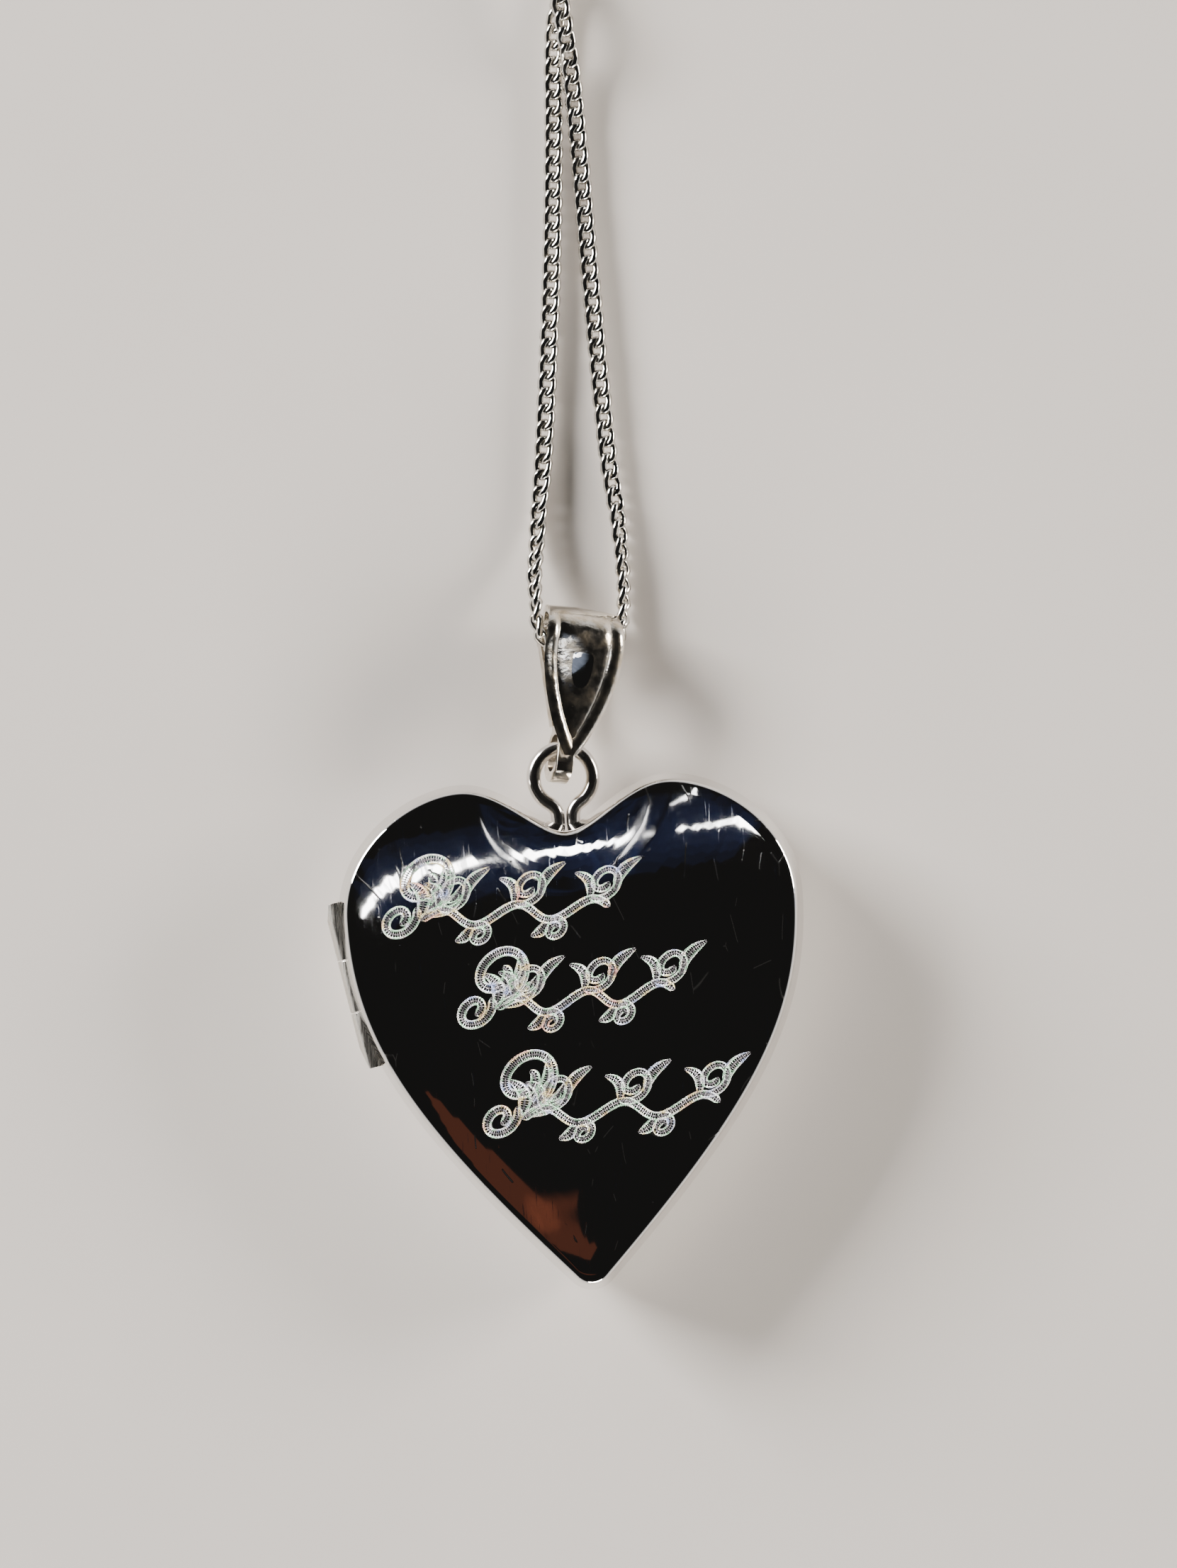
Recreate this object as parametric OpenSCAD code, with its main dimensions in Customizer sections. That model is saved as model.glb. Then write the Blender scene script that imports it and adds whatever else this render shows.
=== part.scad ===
// A heart locket lying on its back, hung from a tapered bail on a fine curb chain.
// Millimetres. +Z points out of the front cover, +Y runs from the tip of the heart to the bail,
// and the origin is the middle of the flat that the back cover rests on.

/* [Heart] */
// Width across the two lobes
locket_w = 22; // [18:0.1:27]
// Height from the tip to the tops of the lobes
locket_h = 24.2; // [20:0.1:30]
// How far the valley between the lobes dips below their tops
cleft_depth = 2.2; // [1.5:0.1:3]
// Distance from the centreline to the top of each lobe
lobe_x = 4.9; // [4:0.1:6]
// Distance from the lobe tops down to the widest level
widest_drop = 6.1; // [5:0.1:7.5]
// Radius of the rounded tip
tip_r = 1.3; // [1:0.1:2]
// Angle between each lower side and the centreline, at the tip
tip_half_angle = 44; // [38:1:50]

/* [Covers] */
// Height of each cover's side wall
wall_h = 1.7; // [1.4:0.1:2.5]
// Rise of the domed face above the side wall
dome_h = 0.7; // [0.5:0.05:1.2]
// Thickness of the sheet silver
sheet_t = 0.4; // [0.3:0.05:0.5]
// How far the side wall leans in over its height
draft = 0.33; // [0.1:0.01:0.4]
// Share of the back face that is left flat to rest on
rest_share = 0.35; // [0.2:0.05:0.5]

/* [Hinge] */
// Level of the hinge's middle, above the origin along Y
hinge_mid_y = 3; // [1:0.1:5]
// Length of the three knuckles together
hinge_len = 8; // [6:0.1:9]
// Length of the middle knuckle
middle_knuckle_len = 2.5; // [1.5:0.1:3.5]
// Outer radius of the knuckles
knuckle_r = 0.55; // [0.5:0.01:0.7]
// Radius of the hinge pin
pin_r = 0.18; // [0.15:0.01:0.25]
// Radial clearance of the pin in the middle knuckle
pin_clear = 0.03; // [0.02:0.01:0.05]
// Gap between neighbouring knuckles
knuckle_gap = 0.05; // [0.03:0.01:0.1]
// Clearance between a knuckle and the other cover
cover_clear = 0.08; // [0.05:0.01:0.15]
// Distance of the pin's line outside the outline, at the hinge's two ends
pin_out = 0.27; // [0.2:0.01:0.4]
// How far the filed knuckles stand proud of the outline
knuckle_proud = 0.53; // [0.5:0.01:0.7]

/* [Photo frames] */
// Width of each heart-shaped frame
frame_w = 0.9; // [0.6:0.1:1.5]
// Depth of each frame
frame_d = 0.55; // [0.4:0.05:0.7]
// Distance of each frame below the covers' meeting plane
frame_recess = 0.06; // [0.05:0.01:0.2]
// Thickness of the clear window
window_t = 0.25; // [0.15:0.05:0.3]
// Thickness of the photo card
card_t = 0.25; // [0.15:0.05:0.3]

/* [Catch] */
// Width of the spring tongue
tongue_w = 2.4; // [1.5:0.1:3.5]
// Thickness of the spring tongue
tongue_t = 0.3; // [0.2:0.05:0.4]
// How far the tongue reaches into the back cover
tongue_reach = 0.8; // [0.6:0.05:1]
// Distance of the tongue inside the covers' inner wall
tongue_inset = 0.45; // [0.4:0.01:0.6]
// Radius of the bead along the tongue
tongue_bead_r = 0.12; // [0.08:0.01:0.15]
// Clearance of the bead past the keeper
catch_clear = 0.05; // [0.03:0.01:0.1]

/* [Bail ring] */
// Radius of the wire loop at the top of the heart, at the middle of its wire
ring_r = 1.4; // [1.3:0.05:1.6]
// Radius of the loop's wire
ring_wire_r = 0.335; // [0.28:0.005:0.38]
// Height of the loop's centre above the bottom of the valley between the lobes
ring_rise = 2.27; // [2.1:0.01:2.6]
// Depth of the loop below the covers' meeting plane
ring_drop = 0.5; // [0.4:0.05:0.6]

/* [Bail] */
// Length from the ring's wire to the top of the bail
bail_len = 6.35; // [6:0.05:8]
// Width of the front shield at its top
shield_w = 3.5; // [3:0.1:4.2]
// Width of the back strap
strap_w = 2.8; // [2.4:0.1:3]
// Thickness of the bail's metal
bail_t = 0.4; // [0.3:0.05:0.5]
// Inner radius of the fold at the top of the bail
fold_r = 0.93; // [0.9:0.01:1.2]
// Radius of the hole in the eye below the bail
eye_hole_r = 0.68; // [0.64:0.01:0.7]
// Width of the eye
eye_w = 0.8; // [0.7:0.1:1]
// Length of the raised panel on the shield
panel_len = 4.3; // [3.5:0.1:4.8]
// Width of the raised panel
panel_w = 2.3; // [1.8:0.1:2.6]
// Height of the raised panel
panel_h = 0.35; // [0.2:0.05:0.5]
// Radius of the bead below the panel
bead_r = 0.22; // [0.15:0.01:0.3]
// Angle by which the bail leans sideways
bail_lean = 11; // [0:1:15]
// Angle by which the bail is rolled about its own length
bail_roll = 17; // [0:1:18]
// Angle by which the bail slopes down to the table
bail_slope = 2.5; // [0:0.5:4]

/* [Chain] */
// Width of the curb chain
chain_d = 0.95; // [0.8:0.05:1]
// Mean radius of the coil that the rest of the chain is wound in
coil_mean_r = 5.7; // [5.5:0.1:6]
// Width of the coil's band of turns
coil_band = 5.6; // [5:0.1:6]

/* [Clasp] */
// Radius of the spring ring, at the middle of its tube
clasp_r = 1.95; // [1.8:0.05:2.2]
// Outer radius of the clasp's tube
clasp_tube_r = 0.55; // [0.5:0.01:0.6]
// Inner radius of the clasp's tube
clasp_bore_r = 0.36; // [0.34:0.01:0.4]
// Radius of the sliding bolt
bolt_r = 0.3; // [0.26:0.01:0.32]
// Angle that the mouth of the clasp spans
mouth_angle = 60; // [45:1:70]
// Radius of the wire in the small rings
small_wire_r = 0.2; // [0.15:0.01:0.22]

/* [Hidden] */

SILVER = "silver";
DARK_SILVER = "gray";

// The covers meet in this plane
part_z = wall_h + dome_h;
top_y = locket_h / 2;
tip_y = -locket_h / 2;
cleft_y = top_y - cleft_depth;
widest_y = top_y - widest_drop;

// ---- the heart's outline: three Bezier curves and a round tip on each side ----

function bezier(a, b, c, d, n) = [
    for (i = [0 : n - 1])
        let (t = i / n, s = 1 - t)
        s * s * s * a + 3 * s * s * t * b + 3 * s * t * t * c + t * t * t * d
];

shoulder_w = locket_w / 2 - lobe_x;
tip_centre = [0, tip_y + tip_r];
side_end = tip_centre + tip_r * [cos(tip_half_angle), -sin(tip_half_angle)];
side_fall = widest_y - side_end[1];

valley_curve = bezier(
    [0, cleft_y], [0.235 * lobe_x, cleft_y], [0.57 * lobe_x, top_y], [lobe_x, top_y], 8);
shoulder_curve = bezier(
    [lobe_x, top_y], [lobe_x + 0.38 * shoulder_w, top_y],
    [locket_w / 2, widest_y + 0.64 * widest_drop], [locket_w / 2, widest_y], 9);
side_curve = bezier(
    [locket_w / 2, widest_y], [locket_w / 2, widest_y - 0.335 * side_fall],
    side_end + 0.59 * side_fall * [sin(tip_half_angle), cos(tip_half_angle)], side_end, 15);
tip_curve = [
    for (i = [0 : 3])
        let (a = -tip_half_angle - (90 - tip_half_angle) * i / 3)
        tip_centre + tip_r * [cos(a), sin(a)]
];
right_half = concat(valley_curve, shoulder_curve, side_curve, tip_curve);
HALF = len(right_half);
// Anticlockwise from the valley: down the left side, up the right side
outline = concat(
    [for (p = right_half) [-p[0], p[1]]],
    [for (i = [HALF - 2 : -1 : 1]) right_half[i]]);
SIDES = len(outline);

// The right side's half width at a given level
side_table = [for (p = concat(shoulder_curve, side_curve, tip_curve)) [p[1], p[0]]];
function side_x(y) = lookup(y, side_table);

function unit(v) = v / norm(v);
function outward(i) =
    let (along = unit(outline[(i + 1) % SIDES] - outline[(i + SIDES - 1) % SIDES]))
    [along[1], -along[0]];
function grown(d) = [for (i = [0 : SIDES - 1]) outline[i] + d * outward(i)];
function at_z(ring, z) = [for (p = ring) [p[0], p[1], z]];
function shrunk(ring, s) = [for (p = ring) s * p];

// ---- solids from rings of points ----

// A closed skin through equal rings, from one end point to another
module skin(first, rings, last) {
    n = len(rings[0]);
    m = len(rings);
    points = concat([first], [for (r = rings) each r], [last]);
    end = len(points) - 1;
    faces = concat(
        [for (j = [0 : n - 1]) [0, 1 + (j + 1) % n, 1 + j]],
        [for (i = [0 : m - 2], j = [0 : n - 1])
            let (a = 1 + i * n, b = a + n, k = (j + 1) % n) [a + j, a + k, b + j]],
        [for (i = [0 : m - 2], j = [0 : n - 1])
            let (a = 1 + i * n, b = a + n, k = (j + 1) % n) [a + k, b + k, b + j]],
        [for (j = [0 : n - 1]) [end, 1 + (m - 1) * n + j, 1 + (m - 1) * n + (j + 1) % n]]);
    polyhedron(points, faces);
}

// A round tube of small radius along a route
function mean_dir(route, i) =
    let (a = route[max(i - 1, 0)], b = route[min(i + 1, len(route) - 1)]) unit(b - a);
function flat_side(d) = unit(cross(d, [0, 0, 1]));
function tube_ring(centre, d, r, sides) =
    let (u = flat_side(d), w = cross(d, u))
    [for (k = [0 : sides - 1]) centre + r * (cos(360 * k / sides) * u + sin(360 * k / sides) * w)];
module tube(route, r, sides = 8) {
    skin(
        route[0],
        [for (i = [0 : len(route) - 1]) tube_ring(route[i], mean_dir(route, i), r, sides)],
        route[len(route) - 1]);
}

// Points on a smooth curve through a route, with a few steps between each pair
function spline(p, i, t) =
    let (a = p[max(i - 1, 0)], b = p[i], c = p[i + 1], d = p[min(i + 2, len(p) - 1)])
    0.5 * (2 * b + (c - a) * t + (2 * a - 5 * b + 4 * c - d) * t * t
        + (3 * b - a - 3 * c + d) * t * t * t);
function smooth(p, steps) = concat(
    [for (i = [0 : len(p) - 2], k = [0 : steps - 1]) spline(p, i, k / steps)],
    [p[len(p) - 1]]);

// ---- covers ----

DOME_STEPS = [0.985, 0.95, 0.88, 0.78, 0.64, 0.48, 0.35, 0.18];

// Height of the face over its rim, for a share s of the way from the centre to the rim
function face_rise(s, flat) = let (t = max(0, (s - flat) / (1 - flat))) dome_h * (1 - pow(t, 2.6));

// One cover with its mouth down at z = 0. The part of the face inside flat is level.
module cover(flat) {
    mouth = at_z(outline, 0);
    rim = grown(-draft);
    inner_mouth = at_z(grown(-sheet_t), 0);
    inner_rim = grown(-draft - sheet_t);
    inner_z = wall_h - sheet_t * 0.6;
    skin(
        [0, 0, wall_h + dome_h - sheet_t],
        concat(
            [for (i = [len(DOME_STEPS) - 1 : -1 : 0]) let (s = DOME_STEPS[i])
                at_z(shrunk(inner_rim, s), inner_z + face_rise(s, flat) * cavity_share())],
            [at_z(inner_rim, inner_z), inner_mouth, mouth, at_z(rim, wall_h)],
            [for (s = DOME_STEPS) at_z(shrunk(rim, s), wall_h + face_rise(s, flat))]),
        [0, 0, wall_h + dome_h]);
}
function cavity_share() = (dome_h - sheet_t * 0.4) / dome_h;

// The space inside a cover, mouth down at z = 0
module cavity(flat) {
    inner_mouth = at_z(grown(-sheet_t), 0);
    inner_rim = grown(-draft - sheet_t);
    inner_z = wall_h - sheet_t * 0.6;
    skin(
        [0, 0, 0],
        concat(
            [inner_mouth, at_z(inner_rim, inner_z)],
            [for (s = DOME_STEPS) at_z(shrunk(inner_rim, s), inner_z + face_rise(s, flat) * cavity_share())]),
        [0, 0, wall_h + dome_h - sheet_t]);
}

// A slice of the space inside a cover
module cavity_slice(z0, z1) {
    intersection() {
        cavity(0);
        translate([-locket_w, -locket_h, z0]) cube([2 * locket_w, 2 * locket_h, z1 - z0]);
    }
}

module as_front() translate([0, 0, part_z]) children();
module as_back() translate([0, 0, part_z]) mirror([0, 0, 1]) children();

// ---- hinge ----

hinge_hi = [-side_x(hinge_mid_y + hinge_len / 2), hinge_mid_y + hinge_len / 2];
hinge_lo = [-side_x(hinge_mid_y - hinge_len / 2), hinge_mid_y - hinge_len / 2];
hinge_dir = unit(hinge_hi - hinge_lo);
hinge_left = [-hinge_dir[1], hinge_dir[0]];
hinge_centre = (hinge_hi + hinge_lo) / 2 + pin_out * hinge_left;
hinge_turn = -atan2(hinge_dir[0], hinge_dir[1]);
end_knuckle_len = (hinge_len - middle_knuckle_len) / 2 - knuckle_gap;

// A rod along the pin's line, between two places measured from the hinge's middle
module hinge_rod(r, from, to) {
    translate([hinge_centre[0], hinge_centre[1], part_z])
    rotate([0, 0, hinge_turn]) rotate([-90, 0, 0])
    translate([0, 0, from]) cylinder(r = r, h = to - from, $fn = 48);
}

// The three stretches of the hinge, from below
lower_span = [-hinge_len / 2, -hinge_len / 2 + end_knuckle_len];
middle_span = [-middle_knuckle_len / 2, middle_knuckle_len / 2];
upper_span = [hinge_len / 2 - end_knuckle_len, hinge_len / 2];

// A knuckle, filed to follow the outline
module knuckle(span, hole_r) {
    color(SILVER) difference() {
        intersection() {
            hinge_rod(knuckle_r, span[0], span[1]);
            translate([0, 0, part_z - knuckle_r]) linear_extrude(2 * knuckle_r)
                polygon(grown(knuckle_proud));
        }
        hinge_rod(hole_r, span[0] - 1, span[1] + 1);
    }
}

// Room for a knuckle that belongs to this cover, and for one that turns in it
module own_seat(span) hinge_rod(knuckle_r, span[0] - knuckle_gap, span[1] + knuckle_gap);
module free_seat(span) hinge_rod(knuckle_r + cover_clear, span[0] - knuckle_gap, span[1] + knuckle_gap);
module whole_seat() hinge_rod(knuckle_r + cover_clear, -hinge_len / 2 - knuckle_gap, hinge_len / 2 + knuckle_gap);

// ---- catch, opposite the hinge: in its own frame, +X out through the wall ----

catch_hi = [side_x(hinge_mid_y + tongue_w / 2), hinge_mid_y + tongue_w / 2];
catch_lo = [side_x(hinge_mid_y - tongue_w / 2), hinge_mid_y - tongue_w / 2];
catch_turn = -atan2(catch_hi[0] - catch_lo[0], catch_hi[1] - catch_lo[1]);
module as_catch() {
    translate([catch_lo[0], catch_lo[1], 0]) rotate([0, 0, catch_turn])
    translate([0, norm(catch_hi - catch_lo) / 2, 0]) children();
}
tongue_x = -sheet_t - tongue_inset;
foot_z = 0.5;
foot_top = 1.2;
foot_x = -sheet_t - 0.05;
bead_drop = tongue_reach - 0.25;
keeper_x = -sheet_t + 0.1;
keeper_top = 0.12;
keeper_bottom = bead_drop - tongue_bead_r - catch_clear;

// A block across the catch: from x0 to x1, between two heights above the meeting plane
module catch_block(x0, x1, z0, z1, w) {
    as_catch() translate([x0, -w / 2, z0]) cube([x1 - x0, w, z1 - z0]);
}
// The tongue's soldered foot and the keeper, each let into the wall a little
module tongue_foot() catch_block(tongue_x - tongue_t / 2, foot_x, foot_z, foot_top, tongue_w);
module keeper_block() {
    catch_block(tongue_x + tongue_bead_r + catch_clear, keeper_x, keeper_top, keeper_bottom, tongue_w);
}
module catch_room() {
    catch_block(tongue_x - tongue_t - 0.15, locket_w / 2, -1, foot_top + 0.05, tongue_w + 0.4);
}

// ---- modules, one for each piece ----

module front_cover() {
    color(SILVER) difference() {
        as_front() cover(0);
        as_front() tongue_foot();
        free_seat(upper_span);
        own_seat(middle_span);
        free_seat(lower_span);
    }
}
module back_cover() {
    color(SILVER) difference() {
        as_back() cover(rest_share);
        as_back() keeper_block();
        own_seat(upper_span);
        free_seat(middle_span);
        own_seat(lower_span);
    }
}
module hinge_knuckle_upper() knuckle(upper_span, pin_r);
module hinge_knuckle_middle() knuckle(middle_span, pin_r + pin_clear);
module hinge_knuckle_lower() knuckle(lower_span, pin_r);
module hinge_pin() color(DARK_SILVER) hinge_rod(pin_r, -hinge_len / 2, hinge_len / 2);

module catch_tongue() {
    color(SILVER) as_front() union() {
        catch_block(tongue_x - tongue_t, tongue_x, -tongue_reach, foot_top, tongue_w);
        tongue_foot();
        as_catch() translate([tongue_x, -tongue_w / 2, -bead_drop]) rotate([-90, 0, 0])
            cylinder(r = tongue_bead_r, h = tongue_w, $fn = 24);
    }
}
module catch_keeper() color(SILVER) as_back() keeper_block();

module photo_frame() {
    difference() {
        intersection() {
            cavity(0);
            translate([0, 0, frame_recess]) linear_extrude(frame_d) difference() {
                square([2 * locket_w, 2 * locket_h], center = true);
                offset(delta = -frame_w - sheet_t - draft) polygon(outline);
            }
        }
        catch_room();
    }
}
module photo_window() {
    difference() {
        cavity_slice(frame_recess + frame_d, frame_recess + frame_d + window_t);
        catch_room();
    }
}
module photo_card() {
    z = frame_recess + frame_d + window_t;
    difference() {
        cavity_slice(z, z + card_t);
        catch_room();
    }
}
module front_photo_frame() color(SILVER) difference() { as_front() photo_frame(); whole_seat(); }
module back_photo_frame() color(SILVER) difference() { as_back() photo_frame(); whole_seat(); }
module front_photo_window() color("white", 0.4) difference() { as_front() photo_window(); whole_seat(); }
module back_photo_window() color("white", 0.4) difference() { as_back() photo_window(); whole_seat(); }
module front_photo_card() color("ivory") as_front() photo_card();
module back_photo_card() color("ivory") as_back() photo_card();

// ---- wire loop in the valley between the lobes ----

ring_cy = cleft_y + ring_rise;
ring_z = part_z - ring_drop;
hook_y = ring_cy + ring_r;
leg_foot = [0.22, cleft_y - ring_cy + 0.05];
leg_angle = asin(ring_r / norm(leg_foot)) - 90 + atan2(leg_foot[0], -leg_foot[1]) ;
leg_start = ring_r * [cos(leg_angle), sin(leg_angle)];

module ring_leg() {
    way = leg_foot - leg_start;
    translate([leg_start[0], leg_start[1], 0]) rotate([0, 0, atan2(way[1], way[0])])
    rotate([0, 90, 0]) cylinder(r = ring_wire_r, h = norm(way) + 0.3, $fn = 32);
    translate([leg_start[0], leg_start[1], 0]) sphere(r = ring_wire_r, $fn = 32);
}
module bail_ring() {
    color(SILVER) difference() {
        translate([0, ring_cy, ring_z]) union() {
            rotate([0, 0, leg_angle]) rotate_extrude(angle = 180 - 2 * leg_angle, $fn = 96)
                translate([ring_r, 0]) circle(r = ring_wire_r, $fn = 32);
            ring_leg();
            mirror([1, 0, 0]) ring_leg();
        }
        linear_extrude(part_z + 1) polygon(grown(-draft * (ring_drop - ring_wire_r) / wall_h));
    }
}

// ---- bail, built with its length along Y, its front up, and the ring's wire at its origin ----

module as_bail() {
    translate([0, hook_y, ring_z]) rotate([-bail_slope, 0, 0]) rotate([0, 0, -bail_lean])
    rotate([0, bail_roll, 0]) children();
}
fold_outer_r = fold_r + bail_t;
fold_y = bail_len - fold_outer_r;
shield_tip_y = -0.35;
strap_foot_y = 1.0;
strap_foot_z = -0.2;
eye_y = -0.08;
eye_slack = 0.42;
eye_wall = 0.25;
eye_bottom_wall = 0.5;

function arc(cx, cy, r, a0, a1, n) = [
    for (i = [0 : n]) let (a = a0 + (a1 - a0) * i / n) [cx + r * cos(a), cy + r * sin(a)]
];

// Side view of the band, as (length, height): over the front, round the fold and down the strap
module bail_band(w, lo, hi) {
    side = concat(
        [[shield_tip_y, fold_r], [shield_tip_y, fold_outer_r]],
        arc(fold_y, 0, fold_outer_r, 90, -90, 20),
        [[strap_foot_y, strap_foot_z - bail_t], [strap_foot_y, strap_foot_z]],
        arc(fold_y, 0, fold_r, -90, 90, 20));
    intersection() {
        translate([w / 2, 0, 0]) rotate([0, -90, 0]) rotate([0, 0, 90]) mirror([0, 1, 0])
            linear_extrude(w) polygon(side);
        translate([-w, -bail_len, lo]) cube([2 * w, 3 * bail_len, hi - lo]);
    }
}
shield_side = bezier(
    [shield_w / 2, fold_y - 0.2], [shield_w / 2, 0.62 * fold_y],
    [0.28 * shield_w, 0.2 * fold_y], [0.05, shield_tip_y], 12);
shield_outline = concat(
    [[shield_w / 2 - 0.1, bail_len + 1]], shield_side, [[0.05, shield_tip_y]],
    [[-0.05, shield_tip_y]], [for (i = [len(shield_side) - 1 : -1 : 0]) [-shield_side[i][0], shield_side[i][1]]],
    [[-shield_w / 2 + 0.1, bail_len + 1]]);
strap_outline = [
    [strap_w / 2 + 0.2, bail_len + 1], [strap_w / 2, fold_y], [eye_w / 2, strap_foot_y],
    [-eye_w / 2, strap_foot_y], [-strap_w / 2, fold_y], [-strap_w / 2 - 0.2, bail_len + 1]
];

module bail_body() {
    color(SILVER) as_bail() union() {
        intersection() {
            bail_band(shield_w, 0, fold_outer_r + 1);
            linear_extrude(fold_outer_r + 1) polygon(shield_outline);
        }
        intersection() {
            bail_band(shield_w, -fold_outer_r - 1, 0.001);
            translate([0, 0, -fold_outer_r - 1]) linear_extrude(fold_outer_r + 1.001)
                polygon(strap_outline);
        }
    }
}

// Side view of the eye, as (length, height), with its stem up to the shield and the strap
module bail_eye() {
    outer = concat(
        arc(eye_y, 0, eye_hole_r + eye_wall, 90, 0, 8),
        arc(eye_y, 0, eye_hole_r + eye_wall, 0, -90, 8),
        arc(eye_y - eye_slack, 0, eye_hole_r + eye_bottom_wall, -120, -240, 14));
    stem = [
        [eye_y + 0.3, fold_r], [strap_foot_y + 0.6, fold_r], [strap_foot_y, strap_foot_z],
        [strap_foot_y, strap_foot_z - bail_t], [0.5, -0.62], [0.3, 0]
    ];
    hole = concat(
        arc(eye_y, 0, eye_hole_r, 90, -90, 16), arc(eye_y - eye_slack, 0, eye_hole_r, -90, -270, 16));
    color(SILVER) as_bail()
    translate([eye_w / 2, 0, 0]) rotate([0, -90, 0]) rotate([0, 0, 90]) mirror([0, 1, 0])
    linear_extrude(eye_w) difference() {
        union() {
            polygon(outer);
            polygon(stem);
        }
        polygon(hole);
    }
}

// The raised panel: a teardrop, broad at the top
panel_top = fold_y + 0.45;
panel_foot = panel_top - panel_len;
panel_side = concat(
    bezier([0, panel_top], [panel_w * 0.36, panel_top], [panel_w / 2, panel_top - 0.15],
        [panel_w / 2, panel_top - 0.9], 7),
    bezier([panel_w / 2, panel_top - 0.9], [panel_w / 2, panel_top - 0.55 * panel_len],
        [panel_w * 0.22, panel_foot], [0, panel_foot], 9),
    [[0, panel_foot]]);
panel_outline = concat(
    [for (p = panel_side) [-p[0], p[1]]],
    [for (i = [len(panel_side) - 2 : -1 : 1]) panel_side[i]]);
panel_mid = [0, (panel_top + panel_foot) / 2 + 0.6];
module bail_panel() {
    rings = [
        for (s = [1, 0.97, 0.88, 0.7, 0.45, 0.2])
            [for (p = panel_outline) let (q = panel_mid + s * (p - panel_mid))
                [q[0], q[1], shield_top_z(q[1]) + panel_h * sqrt(1 - s * s * 0.999) ]]
    ];
    base = [for (p = panel_outline) [p[0], p[1], shield_top_z(p[1])]];
    color(SILVER) as_bail() difference() {
        skin([0, panel_mid[1], 0.2], concat([[for (p = base) [p[0], p[1], 0.2]]], rings),
            [0, panel_mid[1], fold_outer_r + panel_h]);
        translate([-bail_len, fold_y, 0]) rotate([0, 90, 0])
            cylinder(r = fold_outer_r, h = 2 * bail_len, $fn = 96);
        translate([-bail_len, -bail_len, -1]) cube([2 * bail_len, bail_len + fold_y, 1 + fold_outer_r]);
    }
}
// Height of the shield's outer face: level, then down over the fold
function shield_top_z(y) =
    y < fold_y ? fold_outer_r : sqrt(fold_outer_r * fold_outer_r - pow(y - fold_y, 2));

module bail_bead() {
    color(SILVER) as_bail() difference() {
        translate([0, panel_foot - bead_r, fold_outer_r]) sphere(r = bead_r, $fn = 32);
        translate([-1, -bail_len, 0]) cube([2, 2 * bail_len, fold_outer_r]);
    }
}

// ---- chain ----

// Where the chain lies, from one side of the coil, down through the bail, and back
LEFT_STRAND = [
    [6.5, 54.2, 0.5], [4.4, 52.6, 0.5], [3.0, 51.0, 0.5], [2.0, 48.9, 0.5], [1.6, 46.9, 0.5],
    [1.3, 42, 0.5], [0.8, 35.5, 0.5], [0, 27.8, 0.5], [-0.4, 25, 0.5], [-0.6, 23.3, 0.7], [-0.8, 21.8, 1.2]
];
THROUGH_BAIL = [
    [-0.8, 20.4, 1.7], [-0.8, 19.5, 1.9], [-0.5, 18.7, 2], [0.1, 18.1, 2], [1, 17.8, 1.7],
    [1.9, 17.8, 1.4], [2.7, 18.2, 1.1], [3.1, 18.9, 0.8], [3.3, 19.8, 0.6]
];
RIGHT_STRAND = [
    [3.4, 21.5, 0.5], [3.3, 24.5, 0.5], [3, 27.7, 0.5], [2.7, 35.4, 0.5], [2.5, 42, 0.5],
    [2.35, 45.5, 0.8], [2.2, 47.2, 1.3], [2, 48.9, 1.5], [1.4, 51, 1.5], [0, 52.6, 1.5], [-2.5, 54.2, 1.5]
];
LEFT_END = [[0.3, 63.2, 0.5], [-0.5, 62.4, 0.6], [-0.9, 61.5, 0.9], [-0.8, 60.6, 1.5], [-0.3, 60.2, 2.2]];
RIGHT_END = [[3.9, 63.1, 1.5], [4.7, 62.1, 1.5], [4.9, 61.2, 1.6], [4.4, 60.7, 2], [3.7, 61, 2.4]];
coil_centre = [2, 60.3];
coil_h = 2 * chain_d + 0.1;

module chain() {
    color(SILVER) union() {
        tube(smooth(concat(LEFT_STRAND, THROUGH_BAIL, RIGHT_STRAND), 2), chain_d / 2);
        tube(LEFT_END, chain_d / 2);
        tube(RIGHT_END, chain_d / 2);
    }
}
module chain_coil() {
    color(SILVER) translate([coil_centre[0], coil_centre[1], 0])
    rotate_extrude($fn = 72) translate([coil_mean_r - coil_band / 2, 0]) square([coil_band, coil_h]);
}

// ---- clasp: a spring ring lying on the coil ----

clasp_centre = [coil_centre[0], coil_centre[1] + 3.75, coil_h + clasp_tube_r];
mouth_from = 60;
mouth_to = mouth_from + mouth_angle;
bolt_tail = 52;
trigger_angle = mouth_to + 14;
bolt_travel = 50;
trigger_r = 0.14;
spring_wire_r = 0.05;
spring_turns = 14;
spring_from = mouth_to + bolt_tail + 3;
spring_to = mouth_from + 360 - 6;
eye_angle = 240;
small_ring_r = 0.75;
clasp_eye_r = 0.5;
clasp_eye_at = clasp_r + clasp_tube_r + clasp_eye_r - 0.05;

module arc_rod(r, from, to) {
    rotate([0, 0, from]) rotate_extrude(angle = to - from, $fn = 72)
        translate([clasp_r, 0]) circle(r = r, $fn = 32);
}
module small_ring(r) rotate_extrude($fn = 48) translate([r, 0]) circle(r = small_wire_r, $fn = 24);

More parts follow.
